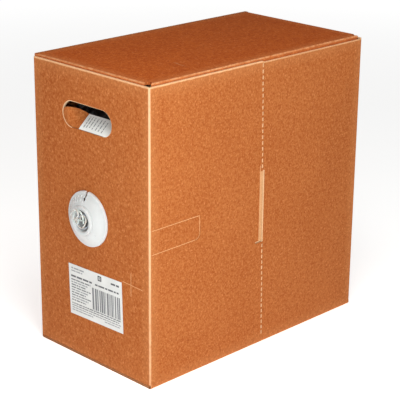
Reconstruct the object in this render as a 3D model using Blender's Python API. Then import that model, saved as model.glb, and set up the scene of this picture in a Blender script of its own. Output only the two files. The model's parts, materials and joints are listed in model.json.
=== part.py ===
"""Cable pull box: a corrugated carton that pays cable out of a wound coil.

Run with: blender --background --python part.py
Metres, +Z up. The origin is on the floor, under the middle of the carton.
-X is the end wall with the payout tube, and the lid is hinged on the +Y side.
"""
import math

import bmesh
import bpy
from mathutils import Matrix, Vector

# Carton, over its outer faces.
CARTON_LENGTH = 0.348
CARTON_WIDTH = 0.192
CARTON_HEIGHT = 0.350
BOARD = 0.003                    # thickness of the corrugated board
GAP = 0.0003                     # air left between pieces that touch

# Lid and the three tucks on its free edges.
LID_SETBACK = 0.0025             # strip of each wall's top edge left showing
LID_CORNER_CUT = 0.007           # corners cut off between two tucks
TUCK_DEPTH = 0.036
TUCK_CLEARANCE = 0.0005          # from a tuck's fold to the wall behind it
TUCK_END_CLEARANCE = 0.004
TUCK_TAPER = 0.007
TUCK_TOP_RELIEF = math.radians(20.0)   # lean that a tuck's top edge clears the lid at
TUCK_UNFOLD = 0.2                # how far the long tuck springs out, per unit of lid angle
TUCK_LEAN_MARGIN = math.radians(2.0)
END_TUCK_LEAN = math.radians(8.0)
END_TUCK_SETBACK = 0.006         # from the hinged wall to the start of an end tuck

# Bottom flaps.
SEAM_SHIFT = 0.003               # the bottom seam lies this far towards the hinged side
GLUE_FLAP_WIDTH = 0.032
GLUE_FLAP_TRIM = 0.020           # cut off the glue flap's top and bottom

# Cut-outs of the end walls.
CUTOUT_SHIFT = 0.0042            # their centre line lies this far towards the hinged side
HAND_HOLE_WIDTH = 0.0815
HAND_HOLE_HEIGHT = 0.030
HAND_HOLE_BELOW_TUCK = 0.003
FLAP_TOP_GAP = 0.008             # open strip above a flap that stands in its hole
FLAP_CUT = 0.0005                # width of the cut around a flap
FLAP_TILT = math.radians(48.0)   # the front flap is left pushed in this far
CREASE_BEVEL = math.radians(46.5)

# Tear line down the near side wall.
TEAR_LINE_X = 0.004              # at mid height
TEAR_LINE_LEAN = math.radians(1.4)
SLIT_LENGTH = 0.004
SLIT_PITCH = 0.007
SLIT_WIDTH = 0.0008
FINGER_CUT_TOP = 0.218
FINGER_CUT_BOTTOM = 0.130
FINGER_CUT_WIDTH = 0.0012
FINGER_CUT_TICK = 0.012
TEAR_LINE_MARGIN = 0.006         # whole board left at the wall's top and bottom
WALL_TOP_STEP = 0.0015           # the wall is lower beyond the tear line

# Wound coil, with its axis along Y.
COIL_CORE_RADIUS = 0.080
COIL_END_CLEARANCE = 0.006       # to the end walls
COIL_TOP_CLEARANCE = 0.0135      # to the lid
COIL_TUCK_CLEARANCE = 0.0008
COIL_EDGE_CHAMFER = 0.008
PAYOUT_HOLE_CLEARANCE = 0.009    # around the tube, through the windings
CABLE_DIAMETER = 0.0052

# Payout tube and its flange.
PAYOUT_RISE = 0.0085             # tube axis above the coil's axis
TUBE_BORE_RADIUS = 0.0125
TUBE_WALL = 0.0018
TUBE_WALL_CLEARANCE = 0.0005
TUBE_CORE_CLEARANCE = 0.003      # the tube stops this far short of the core
FLANGE_RADIUS = 0.0326
FLANGE_RIM = 0.0026
FLANGE_RISE = 0.0125             # from the end wall to the top of the lip
FLANGE_SHOULDER = 0.0100
LIP_WIDTH = 0.0048
LIP_STEP = 0.0014
SKIN = 0.0016                    # thickness of the domed flange
KEYHOLE_RADIUS = 0.0024
KEYHOLE_SLOT = 0.0030
KEYHOLE_FROM_RIM = 0.0075
LUG_HEIGHT = 0.0030
LUG_LENGTH = 0.0045
LUG_WIDTH = 0.010

# Loose end of the cable, in the tube, and its run from the coil.
CABLE_END_INSET = 0.004          # the cut end lies this far inside the lip
FEED_CLEARANCE = 0.0005          # from the run's upper end to the inner windings

# Paper labels.
PAPER = 0.0003
PAPER_GAP = 0.0001
LABEL_WIDTH = 0.0915
LABEL_HEIGHT = 0.062
LABEL_BELOW_FLANGE = 0.0298
LABEL_SHIFT = -0.0055            # from the middle of the end wall
LABEL_TILT = math.radians(1.8)
FLAP_LABEL_START = 0.0145        # from the flap's middle, towards the hinged side
FLAP_LABEL_MARGIN = 0.0008

ROUND_STEPS = 48
SMALL_ROUND_STEPS = 16
CORNER_STEPS = 8


# Sizes that follow from the ones above.
half_length = CARTON_LENGTH / 2
half_width = CARTON_WIDTH / 2
inner_x = half_length - BOARD
inner_y = half_width - BOARD
lid_underside = CARTON_HEIGHT - BOARD
wall_bottom = BOARD + GAP
wall_top = lid_underside - GAP
flap_line_z = wall_top - TUCK_DEPTH - HAND_HOLE_BELOW_TUCK - HAND_HOLE_HEIGHT
end_radius = HAND_HOLE_HEIGHT / 2
end_centre = HAND_HOLE_WIDTH / 2 - end_radius
flap_height = HAND_HOLE_HEIGHT - FLAP_TOP_GAP
tube_radius = TUBE_BORE_RADIUS + TUBE_WALL
tuck_drop = GAP + BOARD * math.sin(TUCK_TOP_RELIEF)

# The long tuck's free edge swings outwards as the lid starts to lift. Its lean keeps it off the wall.
tuck_swing = (0.5 + TUCK_UNFOLD) * (TUCK_DEPTH + BOARD) / (CARTON_WIDTH - BOARD)
near_tuck_lean = math.asin(tuck_swing) + TUCK_LEAN_MARGIN
near_fold_y = -inner_y + TUCK_CLEARANCE
near_tuck_reach = near_fold_y + TUCK_DEPTH * math.sin(near_tuck_lean) + BOARD

# The coil fills the carton between the tucks and lies in the trough between the dust flaps.
coil_near_y = near_tuck_reach + COIL_TUCK_CLEARANCE
coil_far_y = 2 * CUTOUT_SHIFT - coil_near_y
coil_radius = min(inner_x - COIL_END_CLEARANCE,
                  (lid_underside - wall_bottom - COIL_TOP_CLEARANCE) / 2)
dust_flap_depth = half_width
trough_half = half_length - dust_flap_depth
dust_flap_top = wall_bottom + BOARD
coil_z = max(wall_bottom + coil_radius,
             dust_flap_top + GAP + math.sqrt(coil_radius ** 2 - trough_half ** 2))
payout_z = coil_z + PAYOUT_RISE
tube_end_x = -COIL_CORE_RADIUS - TUBE_CORE_CLEARANCE
label_z = payout_z - FLANGE_RADIUS - LABEL_BELOW_FLANGE - LABEL_HEIGHT / 2


def clear_scene():
    for old in list(bpy.data.objects):
        bpy.data.objects.remove(old, do_unlink=True)


def material(name, colour, roughness, metallic=0.0):
    made = bpy.data.materials.new(name)
    made.use_nodes = True
    shader = made.node_tree.nodes["Principled BSDF"]
    shader.inputs["Base Color"].default_value = (*colour, 1.0)
    shader.inputs["Roughness"].default_value = roughness
    shader.inputs["Metallic"].default_value = metallic
    made.diffuse_color = (*colour, 1.0)
    return made


def add_object(name, mesh_builder, finish, smooth=False):
    """Close a bmesh into a named object with one material."""
    bmesh.ops.recalc_face_normals(mesh_builder, faces=mesh_builder.faces)
    mesh = bpy.data.meshes.new(name)
    mesh_builder.to_mesh(mesh)
    mesh_builder.free()
    if smooth:
        for face in mesh.polygons:
            face.use_smooth = True
    made = bpy.data.objects.new(name, mesh)
    bpy.context.scene.collection.objects.link(made)
    if finish is not None:
        made.data.materials.append(finish)
    return made


def extrude_outline(points, start, direction):
    """Closed prism: an outline of 3-D points, moved by start, swept along direction."""
    shape = bmesh.new()
    offset = Vector(start)
    low = [shape.verts.new(Vector(point) + offset) for point in points]
    high = [shape.verts.new(Vector(point) + offset + Vector(direction)) for point in points]
    count = len(points)
    shape.faces.new(low[::-1])
    shape.faces.new(high)
    for index in range(count):
        following = (index + 1) % count
        shape.faces.new((low[index], low[following], high[following], high[index]))
    return shape


def box_shape(low, high):
    outline = [(low[0], low[1], low[2]), (high[0], low[1], low[2]),
               (high[0], high[1], low[2]), (low[0], high[1], low[2])]
    return extrude_outline(outline, (0, 0, 0), (0, 0, high[2] - low[2]))


def slab(name, low, high, finish):
    """Rectangular panel between two corners."""
    return add_object(name, box_shape(low, high), finish)


def join_shape(shape, extra):
    """Add another bmesh's faces to a bmesh."""
    scratch = bpy.data.meshes.new("scratch")
    extra.to_mesh(scratch)
    extra.free()
    shape.from_mesh(scratch)
    bpy.data.meshes.remove(scratch)


def cut(target, name, shape):
    """Cut a shape out of an object, with a hidden cutter that stays editable."""
    cutter = add_object(name, shape, None)
    cutter.hide_render = True
    cutter.display_type = "WIRE"
    modifier = target.modifiers.new(name, "BOOLEAN")
    modifier.operation = "DIFFERENCE"
    modifier.solver = "EXACT"
    modifier.object = cutter
    return cutter


def arc(centre, radius, start, end, steps):
    """Points (u, v) along an arc, ends included, angles in radians."""
    points = []
    for step in range(steps + 1):
        angle = start + (end - start) * step / steps
        points.append((centre[0] + radius * math.cos(angle), centre[1] + radius * math.sin(angle)))
    return points


def revolve(profile, steps):
    """Closed ring about the X axis from a closed profile of (x, radius) points."""
    shape = bmesh.new()
    rings = []
    for step in range(steps):
        angle = 2 * math.pi * step / steps
        ring = [shape.verts.new((x, radius * math.cos(angle), radius * math.sin(angle)))
                for x, radius in profile]
        rings.append(ring)
    count = len(profile)
    for step in range(steps):
        ring = rings[step]
        following = rings[(step + 1) % steps]
        for index in range(count):
            after = (index + 1) % count
            shape.faces.new((ring[index], ring[after], following[after], following[index]))
    return shape


def cylinder_shape(radius, x_start, x_end, steps):
    """Solid cylinder along X."""
    outline = [(0.0, radius * math.cos(2 * math.pi * step / steps),
                radius * math.sin(2 * math.pi * step / steps)) for step in range(steps)]
    return extrude_outline(outline, (x_start, 0, 0), (x_end - x_start, 0, 0))


def moved(shape, offset):
    bmesh.ops.translate(shape, verts=shape.verts, vec=Vector(offset))
    return shape


def place_on_axis(made, pivot, turn=None):
    """Move an object's origin onto its joint axis, and optionally turn it there."""
    made.data.transform(Matrix.Translation(-Vector(pivot)))
    made.location = pivot
    if turn is not None:
        made.rotation_euler = turn


def hand_hole_outline():
    """Outline (y, z) of a hand hole, from the middle of its lower edge."""
    right = arc((end_centre, end_radius), end_radius, -math.pi / 2, math.pi / 2, 2 * CORNER_STEPS)
    left = arc((-end_centre, end_radius), end_radius, math.pi / 2, 3 * math.pi / 2, 2 * CORNER_STEPS)
    return right + left


def hole_half_width(height):
    """Half the hand hole's width at a height above its lower edge."""
    return end_centre + math.sqrt(max(end_radius ** 2 - (end_radius - height) ** 2, 0.0))


def flap_half_width(height):
    """Half width that still passes through the board while the flap turns."""
    if height <= BOARD + FLAP_CUT:
        return end_centre - FLAP_CUT
    clear_height = math.sqrt(height ** 2 - (BOARD + FLAP_CUT) ** 2)
    return hole_half_width(clear_height) - 2 * FLAP_CUT


def flap_outline():
    """Outline (y, z) of a hand flap, from the middle of its fold."""
    side = [(end_centre - FLAP_CUT, GAP)]
    for step in range(CORNER_STEPS + 1):
        height = BOARD + FLAP_CUT + (end_radius - BOARD - FLAP_CUT) * step / CORNER_STEPS
        side.append((flap_half_width(height), height))
    widest = flap_half_width(end_radius)
    corner = flap_height - end_radius
    side += arc((widest - corner, end_radius), corner, 0.0, math.pi / 2, CORNER_STEPS)[1:]
    return side + [(-y, z) for y, z in reversed(side)]


def end_wall(name, side, finish):
    """End wall with its hand hole. side is -1 at the payout end, +1 at the other."""
    low_x = min(side * half_length, side * inner_x)
    wall = slab(name, (low_x, -inner_y + GAP, wall_bottom),
                (low_x + BOARD, inner_y - GAP, wall_top), finish)
    reach = BOARD
    outline = [(0.0, y, z) for y, z in hand_hole_outline()]
    hole = extrude_outline(outline, (low_x - reach, CUTOUT_SHIFT, flap_line_z),
                           (BOARD + 2 * reach, 0, 0))
    cut(wall, name + "_hand_hole", hole)
    outer_x = side * half_length
    bevel_drop = BOARD * math.tan(CREASE_BEVEL)
    wedge = [(outer_x, 0, 0), (outer_x - side * BOARD, 0, -bevel_drop),
             (outer_x - side * 2 * BOARD, 0, -bevel_drop), (outer_x - side * 2 * BOARD, 0, BOARD),
             (outer_x, 0, BOARD)]
    crease = extrude_outline(wedge, (0, CUTOUT_SHIFT - end_centre, flap_line_z),
                             (0, 2 * end_centre, 0))
    cut(wall, name + "_crease", crease)
    return wall


def hand_flap(name, side, finish):
    """Hand flap, built standing in its hole, with its origin on the fold at the outer face."""
    outer_x = side * half_length
    outline = [(0.0, y, z) for y, z in flap_outline()]
    start = (min(outer_x, outer_x - side * BOARD), CUTOUT_SHIFT, flap_line_z)
    flap = add_object(name, extrude_outline(outline, start, (BOARD, 0, 0)), finish)
    rise = BOARD * math.tan(CREASE_BEVEL)
    wedge = [(outer_x, 0, GAP), (outer_x, 0, -BOARD), (outer_x - side * 2 * BOARD, 0, -BOARD),
             (outer_x - side * 2 * BOARD, 0, GAP + 2 * rise)]
    crease = extrude_outline(wedge, (0, CUTOUT_SHIFT - HAND_HOLE_WIDTH, flap_line_z),
                             (0, 2 * HAND_HOLE_WIDTH, 0))
    cutter = cut(flap, name + "_crease", crease)
    pivot = (outer_x, CUTOUT_SHIFT, flap_line_z)
    place_on_axis(flap, pivot)
    place_on_axis(cutter, pivot)
    return flap, cutter


def tear_line_shape():
    """Slits, finger cut and tick of the tear line, as separate small boxes."""
    shape = bmesh.new()
    low_y = -half_width - BOARD
    high_y = -inner_y + BOARD
    middle_z = CARTON_HEIGHT / 2

    def add_slit(bottom, top, width):
        x = TEAR_LINE_X - ((bottom + top) / 2 - middle_z) * math.tan(TEAR_LINE_LEAN)
        join_shape(shape, box_shape((x - width / 2, low_y, bottom), (x + width / 2, high_y, top)))

    z = wall_bottom + TEAR_LINE_MARGIN
    while z + SLIT_LENGTH < wall_top - TEAR_LINE_MARGIN:
        beside_cut = z + SLIT_PITCH > FINGER_CUT_BOTTOM and z < FINGER_CUT_TOP + SLIT_LENGTH
        if not beside_cut:
            add_slit(z, z + SLIT_LENGTH, SLIT_WIDTH)
        z += SLIT_PITCH
    add_slit(FINGER_CUT_BOTTOM, FINGER_CUT_TOP, FINGER_CUT_WIDTH)
    return shape


def tick_shape():
    """Short level cut at the foot of the finger cut, towards the payout end."""
    x = TEAR_LINE_X - (FINGER_CUT_BOTTOM - CARTON_HEIGHT / 2) * math.tan(TEAR_LINE_LEAN)
    return box_shape((x - FINGER_CUT_TICK, -half_width - BOARD, FINGER_CUT_BOTTOM),
                     (x, -inner_y + BOARD, FINGER_CUT_BOTTOM + FINGER_CUT_WIDTH))


def near_side_wall(finish):
    wall = slab("near_side_wall", (-half_length, -half_width, wall_bottom),
                (half_length, -inner_y, wall_top), finish)
    step_x = TEAR_LINE_X - (wall_top - CARTON_HEIGHT / 2) * math.tan(TEAR_LINE_LEAN)
    step = box_shape((step_x, -half_width - BOARD, wall_top - WALL_TOP_STEP),
                     (half_length + BOARD, -inner_y + BOARD, wall_top + BOARD))
    cut(wall, "wall_top_step", step)
    cut(wall, "tear_line", tear_line_shape())
    cut(wall, "finger_cut_tick", tick_shape())
    return wall


def lid_outline():
    """Lid seen from above: free corners cut off, hinged edge on the outer face."""
    end_x = half_length - LID_SETBACK
    near_y = -half_width + LID_SETBACK
    return [(-end_x, half_width), (-end_x, near_y + LID_CORNER_CUT),
            (-end_x + LID_CORNER_CUT, near_y), (end_x - LID_CORNER_CUT, near_y),
            (end_x, near_y + LID_CORNER_CUT), (end_x, half_width)]


def lid_panel(finish):
    outline = [(x, y, 0.0) for x, y in lid_outline()]
    panel = add_object("lid_panel", extrude_outline(outline, (0, 0, lid_underside), (0, 0, BOARD)),
                       finish)
    place_on_axis(panel, (0, half_width, CARTON_HEIGHT))
    return panel


def near_tuck(lid, finish):
    """Long tuck behind the near side wall."""
    half = inner_x - TUCK_END_CLEARANCE
    outline = [(-half, 0, -tuck_drop), (half, 0, -tuck_drop),
               (half - TUCK_TAPER, 0, -TUCK_DEPTH), (-half + TUCK_TAPER, 0, -TUCK_DEPTH)]
    tuck = add_object("lid_near_tuck", extrude_outline(outline, (0, 0, 0), (0, BOARD, 0)), finish)
    tuck.rotation_euler = (near_tuck_lean, 0, 0)
    tuck.parent = lid
    tuck.location = Vector((0, near_fold_y, lid_underside)) - Vector(lid.location)
    return tuck


def end_tuck(name, side, lid, finish):
    """Short tuck behind an end wall, cut back near the lid's hinge."""
    near_end = near_tuck_reach + TUCK_END_CLEARANCE
    far_end = inner_y - END_TUCK_SETBACK
    outline = [(0, near_end, -tuck_drop), (0, far_end - tuck_drop, -tuck_drop),
               (0, far_end - TUCK_DEPTH, -TUCK_DEPTH), (0, near_end + TUCK_TAPER, -TUCK_DEPTH)]
    tuck = add_object(name, extrude_outline(outline, (0, 0, 0), (-side * BOARD, 0, 0)), finish)
    tuck.rotation_euler = (0, side * END_TUCK_LEAN, 0)
    tuck.parent = lid
    fold = Vector((side * (inner_x - TUCK_CLEARANCE), 0, lid_underside))
    tuck.location = fold - Vector(lid.location)
    return tuck


def bottom_flaps(finish):
    seam = SEAM_SHIFT
    slab("bottom_flap_near", (-half_length, -half_width, 0),
         (half_length, seam - GAP / 2, BOARD), finish)
    slab("bottom_flap_far", (-half_length, seam + GAP / 2, 0),
         (half_length, half_width, BOARD), finish)
    for name, side in (("dust_flap_front", -1), ("dust_flap_back", 1)):
        outer = side * (inner_x - GAP)
        inner = side * trough_half
        slab(name, (min(outer, inner), -inner_y + GAP, wall_bottom),
             (max(outer, inner), inner_y - GAP, dust_flap_top), finish)


def far_side_walls(finish):
    slab("far_side_wall", (-half_length, inner_y, wall_bottom),
         (half_length, half_width, wall_top), finish)
    high_y = inner_y - GAP
    end_x = inner_x - GAP
    outline = [(end_x - BOARD, high_y, dust_flap_top + GAP),
               (end_x - BOARD, high_y - GLUE_FLAP_WIDTH, dust_flap_top + GAP + GLUE_FLAP_TRIM),
               (end_x - BOARD, high_y - GLUE_FLAP_WIDTH, glue_flap_top() - GLUE_FLAP_TRIM),
               (end_x - BOARD, high_y, glue_flap_top())]
    add_object("glue_flap", extrude_outline(outline, (0, 0, 0), (BOARD, 0, 0)), finish)


def glue_flap_top():
    """The glue flap stops under the back end tuck and beside the back hand flap."""
    return flap_line_z - BOARD


def flange_profile():
    """Closed (x, radius) profile of the flange and tube. x is negative outwards."""
    face_x = -half_length
    bore = TUBE_BORE_RADIUS
    lip = bore + LIP_WIDTH
    rim_x = face_x - GAP
    top_x = face_x - FLANGE_RISE
    shoulder_x = face_x - FLANGE_SHOULDER
    mouth = LIP_WIDTH / 2
    outside = [
        (rim_x, FLANGE_RADIUS),
        (rim_x - FLANGE_RIM, FLANGE_RADIUS - FLANGE_RIM / 4),
        (rim_x - FLANGE_RIM - SKIN / 2, FLANGE_RADIUS - FLANGE_RIM),
        ((rim_x + shoulder_x) / 2 - SKIN, (FLANGE_RADIUS + lip) / 2 + SKIN),
        (shoulder_x, lip + SKIN),
        (shoulder_x, lip),
        (top_x + LIP_STEP / 2, lip),
        (top_x, lip - LIP_WIDTH / 4),
        (top_x, bore + LIP_WIDTH / 4),
        (top_x + mouth, bore),
    ]
    inside = [
        (tube_end_x, bore),
        (tube_end_x, tube_radius),
        (shoulder_x + 2 * SKIN, tube_radius),
        (shoulder_x + 2 * SKIN, lip),
        ((rim_x + shoulder_x) / 2 + SKIN / 2, (FLANGE_RADIUS + lip) / 2),
        (rim_x, FLANGE_RADIUS - 2 * FLANGE_RIM),
    ]
    return outside + inside


def payout_tube(finish):
    axis = (0, CUTOUT_SHIFT, payout_z)
    shape = moved(revolve(flange_profile(), ROUND_STEPS), axis)
    tube = add_object("payout_tube", shape, finish, smooth=True)
    keyhole_z = payout_z + FLANGE_RADIUS - KEYHOLE_FROM_RIM
    outer_x = -half_length - 2 * FLANGE_RISE
    hole = moved(cylinder_shape(KEYHOLE_RADIUS, outer_x, -half_length + BOARD, SMALL_ROUND_STEPS),
                 (0, CUTOUT_SHIFT, keyhole_z))
    cut(tube, "keyhole", hole)
    slot = box_shape((outer_x, CUTOUT_SHIFT - KEYHOLE_SLOT / 2, keyhole_z),
                     (-half_length + BOARD, CUTOUT_SHIFT + KEYHOLE_SLOT / 2,
                      payout_z + FLANGE_RADIUS + FLANGE_RIM))
    cut(tube, "keyhole_slot", slot)
    lugs = bmesh.new()
    for side in (-1, 1):
        sunk = tube_radius - TUBE_WALL / 2
        wedge = [(-inner_x + GAP, side * sunk, 0),
                 (-inner_x + GAP, side * (tube_radius + LUG_HEIGHT), 0),
                 (-inner_x + GAP + LUG_LENGTH, side * sunk, 0)]
        lug = extrude_outline(wedge, (0, CUTOUT_SHIFT, payout_z - LUG_WIDTH / 2), (0, 0, LUG_WIDTH))
        join_shape(lugs, lug)
    lug_object = add_object("snap_lugs", lugs, None)
    lug_object.hide_render = True
    lug_object.display_type = "WIRE"
    union = tube.modifiers.new("snap_lugs", "BOOLEAN")
    union.operation = "UNION"
    union.solver = "EXACT"
    union.object = lug_object
    return tube


def payout_hole(wall):
    hole = moved(cylinder_shape(tube_radius + TUBE_WALL_CLEARANCE, -half_length - BOARD,
                                -inner_x + BOARD, ROUND_STEPS), (0, CUTOUT_SHIFT, payout_z))
    cut(wall, "payout_hole", hole)


def cable_coil(finish):
    """Wound coil about a Y axis, open at its core and along the payout hole."""
    chamfer = COIL_EDGE_CHAMFER
    profile = [(coil_near_y, COIL_CORE_RADIUS), (coil_near_y, coil_radius - chamfer),
               (coil_near_y + chamfer, coil_radius), (coil_far_y - chamfer, coil_radius),
               (coil_far_y, coil_radius - chamfer), (coil_far_y, COIL_CORE_RADIUS)]
    shape = revolve(profile, ROUND_STEPS)
    bmesh.ops.rotate(shape, verts=shape.verts, cent=(0, 0, 0),
                     matrix=Matrix.Rotation(math.pi / 2, 3, "Z"))
    coil = add_object("cable_coil", moved(shape, (0, 0, coil_z)), finish, smooth=True)
    hole = cylinder_shape(tube_radius + PAYOUT_HOLE_CLEARANCE, -coil_radius - BOARD,
                          -COIL_CORE_RADIUS / 2, ROUND_STEPS // 2)
    cut(coil, "coil_payout_hole", moved(hole, (0, CUTOUT_SHIFT, payout_z)))
    return coil


def cable_run(name, points, finish):
    """Round cable along a route of points."""
    curve = bpy.data.curves.new(name, "CURVE")
    curve.dimensions = "3D"
    curve.bevel_depth = CABLE_DIAMETER / 2
    curve.bevel_resolution = 2
    curve.use_fill_caps = True
    spline = curve.splines.new("POLY")
    spline.points.add(len(points) - 1)
    for point, place in zip(spline.points, points):
        point.co = (*place, 1.0)
    made = bpy.data.objects.new(name, curve)
    bpy.context.scene.collection.objects.link(made)
    made.data.materials.append(finish)
    return made


def cable(finish):
    """Loose end lying in the tube, and the fixed run that feeds it from the coil."""
    cable_z = payout_z - TUBE_BORE_RADIUS + GAP + CABLE_DIAMETER / 2
    outer_x = -half_length - FLANGE_RISE + CABLE_END_INSET
    split_x = tube_end_x + CABLE_DIAMETER
    end = cable_run("cable_end", [(0, 0, 0), (split_x - outer_x, 0, 0)], finish)
    end.location = (outer_x, CUTOUT_SHIFT, cable_z)
    top_z = coil_z + COIL_CORE_RADIUS - FEED_CLEARANCE - CABLE_DIAMETER / 2
    loop_radius = (top_z - cable_z) / 2
    loop = arc((0.0, cable_z + loop_radius), loop_radius, math.pi / 2, -math.pi / 2,
               SMALL_ROUND_STEPS)
    route = [(x, CUTOUT_SHIFT, z) for x, z in loop]
    cable_run("cable_feed", route + [(split_x + GAP, CUTOUT_SHIFT, cable_z)], finish)


def labels(paper, front_flap):
    """Label on the payout end wall, and the one across part of the front hand flap."""
    half_w = LABEL_WIDTH / 2
    half_h = LABEL_HEIGHT / 2
    outline = [(0, -half_w, -half_h), (0, half_w, -half_h), (0, half_w, half_h), (0, -half_w, half_h)]
    front = add_object("front_label", extrude_outline(outline, (0, 0, 0), (-PAPER, 0, 0)), paper)
    front.location = (-half_length - PAPER_GAP, LABEL_SHIFT, label_z)
    front.rotation_euler = (-LABEL_TILT, 0, 0)
    middle_z = flap_height / 2
    shrink_z = (flap_height - 2 * FLAP_LABEL_MARGIN) / flap_height
    rounded_end = [(y + FLAP_LABEL_MARGIN, z) for y, z in flap_outline() if y < 0]
    kept = [(FLAP_LABEL_START, GAP), (FLAP_LABEL_START, flap_height)] + rounded_end
    outline = [(0.0, y, middle_z + (z - middle_z) * shrink_z) for y, z in kept]
    flap_label = add_object("hand_flap_label",
                            extrude_outline(outline, (-PAPER_GAP, 0, 0), (-PAPER, 0, 0)), paper)
    flap_label.parent = front_flap


def build():
    clear_scene()
    kraft = material("kraft_board", (0.46, 0.22, 0.09), 0.85)
    plastic = material("white_plastic", (0.82, 0.82, 0.80), 0.35)
    jacket = material("cable_jacket", (0.62, 0.64, 0.66), 0.45)
    paper = material("label_paper", (0.86, 0.86, 0.84), 0.7)

    bottom_flaps(kraft)
    near_side_wall(kraft)
    far_side_walls(kraft)
    front = end_wall("front_end_wall", -1, kraft)
    payout_hole(front)
    end_wall("back_end_wall", 1, kraft)

    lid = lid_panel(kraft)
    near_tuck(lid, kraft)
    end_tuck("lid_front_tuck", -1, lid, kraft)
    end_tuck("lid_back_tuck", 1, lid, kraft)

    front_flap, front_cutter = hand_flap("front_hand_flap", -1, kraft)
    front_cutter.parent = front_flap
    front_cutter.location = (0, 0, 0)
    front_flap.rotation_euler = (0, FLAP_TILT, 0)
    hand_flap("back_hand_flap", 1, kraft)

    payout_tube(plastic)
    cable_coil(jacket)
    cable(jacket)
    labels(paper, front_flap)


build()
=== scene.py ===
# Looks of the cable pull box: folded corrugated board, payout flange, labels and wound cable.
# Metres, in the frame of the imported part. -X is the end wall with the payout tube, and the
# lid is hinged along the top of the +Y side wall.

import json
import math
import random

import bmesh
import bpy
import numpy as np
from mathutils import Matrix, Vector


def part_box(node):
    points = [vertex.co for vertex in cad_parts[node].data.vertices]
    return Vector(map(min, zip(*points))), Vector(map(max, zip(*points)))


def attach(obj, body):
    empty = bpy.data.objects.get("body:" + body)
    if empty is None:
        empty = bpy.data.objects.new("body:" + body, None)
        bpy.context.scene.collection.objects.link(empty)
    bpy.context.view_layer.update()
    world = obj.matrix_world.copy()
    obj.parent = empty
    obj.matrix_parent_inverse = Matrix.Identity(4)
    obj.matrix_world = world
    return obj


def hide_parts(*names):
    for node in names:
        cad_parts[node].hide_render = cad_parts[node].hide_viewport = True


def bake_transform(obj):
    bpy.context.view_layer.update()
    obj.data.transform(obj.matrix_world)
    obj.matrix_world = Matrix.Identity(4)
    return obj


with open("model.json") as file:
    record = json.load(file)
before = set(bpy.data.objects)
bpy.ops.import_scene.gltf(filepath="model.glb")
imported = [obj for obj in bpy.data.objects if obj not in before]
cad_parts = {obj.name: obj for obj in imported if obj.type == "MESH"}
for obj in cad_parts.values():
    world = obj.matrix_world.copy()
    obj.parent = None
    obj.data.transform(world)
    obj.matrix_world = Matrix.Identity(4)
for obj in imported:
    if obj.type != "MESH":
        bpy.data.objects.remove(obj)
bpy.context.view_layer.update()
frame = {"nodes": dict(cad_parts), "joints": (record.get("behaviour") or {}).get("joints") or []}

# Places and sizes, read from the frame.
NEAR_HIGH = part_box("near_side_wall")[1]
FAR_LOW, FAR_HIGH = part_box("far_side_wall")
LID_LOW, LID_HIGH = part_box("lid_panel")
FLAP_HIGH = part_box("back_hand_flap")[1]
COIL_LOW, COIL_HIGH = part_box("cable_coil")
TUBE_LOW, TUBE_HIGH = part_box("payout_tube")
CABLE_LOW, CABLE_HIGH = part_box("cable_end")
LABEL_LOW, LABEL_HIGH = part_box("front_label")
FLOOR_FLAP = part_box("bottom_flap_near")
JOINTS = {joint["name"]: joint for joint in frame["joints"]}

HALF_LENGTH = NEAR_HIGH.x
HALF_WIDTH = FAR_HIGH.y
HEIGHT = LID_HIGH.z
BOARD = LID_HIGH.z - LID_LOW.z
WALL_TOP = FAR_HIGH.z
WALL_BOTTOM = FAR_LOW.z
SEAM_Y = FLOOR_FLAP[1].y
FLAP_FOLD = Vector(JOINTS["front_flap_fold"]["pos_m"])
BACK_FLAP_FOLD = Vector(JOINTS["back_flap_fold"]["pos_m"])
FLAP_TILT = math.radians(-JOINTS["front_flap_fold"]["range_deg"][0])
CUTOUT_Y = FLAP_FOLD.y
TUBE_Z = (TUBE_LOW.z + TUBE_HIGH.z) / 2
FLANGE_RADIUS = (TUBE_HIGH.y - TUBE_LOW.y) / 2
CABLE_RADIUS = (CABLE_HIGH.z - CABLE_LOW.z) / 2
COIL_Z = (COIL_LOW.z + COIL_HIGH.z) / 2
COIL_RADIUS = (COIL_HIGH.x - COIL_LOW.x) / 2

# Board construction.
LINER = 0.0004
MEDIUM = 0.00028
FLUTE_PITCH = 0.0066
FLUTE_STEPS = 8
CORNER_RADIUS = 0.0022
CORNER_STEPS = 6
FOLD_RADIUS = 0.0018

# Cut-outs, which repeat the frame's own sizes.
HAND_HOLE_WIDTH = 0.0815
HAND_HOLE_HEIGHT = 0.030
FLAP_LABEL_START = 0.0145
FLAP_BEND_END = 0.034
CREASE_SLOPE = math.tan(math.radians(46.5))
CREASE_CORNER = 0.0099
TUBE_BORE_RADIUS = 0.0125
TUBE_WALL = 0.0018
TUBE_HOLE_RADIUS = TUBE_BORE_RADIUS + TUBE_WALL + 0.0005
COIL_HOLE_RADIUS = TUBE_BORE_RADIUS + TUBE_WALL + 0.009
TEAR_LINE_X = 0.004
TEAR_LINE_LEAN = math.radians(1.4)
SLIT_LENGTH = 0.004
SLIT_PITCH = 0.007
SLIT_WIDTH = 0.0008
FINGER_CUT = (0.130, 0.218)
FINGER_CUT_WIDTH = 0.0012
TICK_LENGTH = 0.012
TEAR_LINE_MARGIN = 0.006
WALL_TOP_STEP = 0.0015
FLAP_CUT = 0.0005
TUCK_DEPTH = 0.036
TUCK_TAPER = 0.007
TUCK_DROP = 0.00133
END_TUCK_LEAN = math.radians(8.0)
COIL_CORE_RADIUS = 0.0802
LABEL_WIDTH = 0.0915
LABEL_HEIGHT = 0.062
LABEL_TILT = math.radians(1.8)

# Strands of the cable's four pairs.
STRAND_RADIUS = 0.00047
STRAND_OFFSET = 0.00048

# Fine surface marks.
LIP_HEIGHT = 0.0002
SCORE_WIDTH = 0.0008
SCORE_DEPTH = 0.0002

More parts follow.
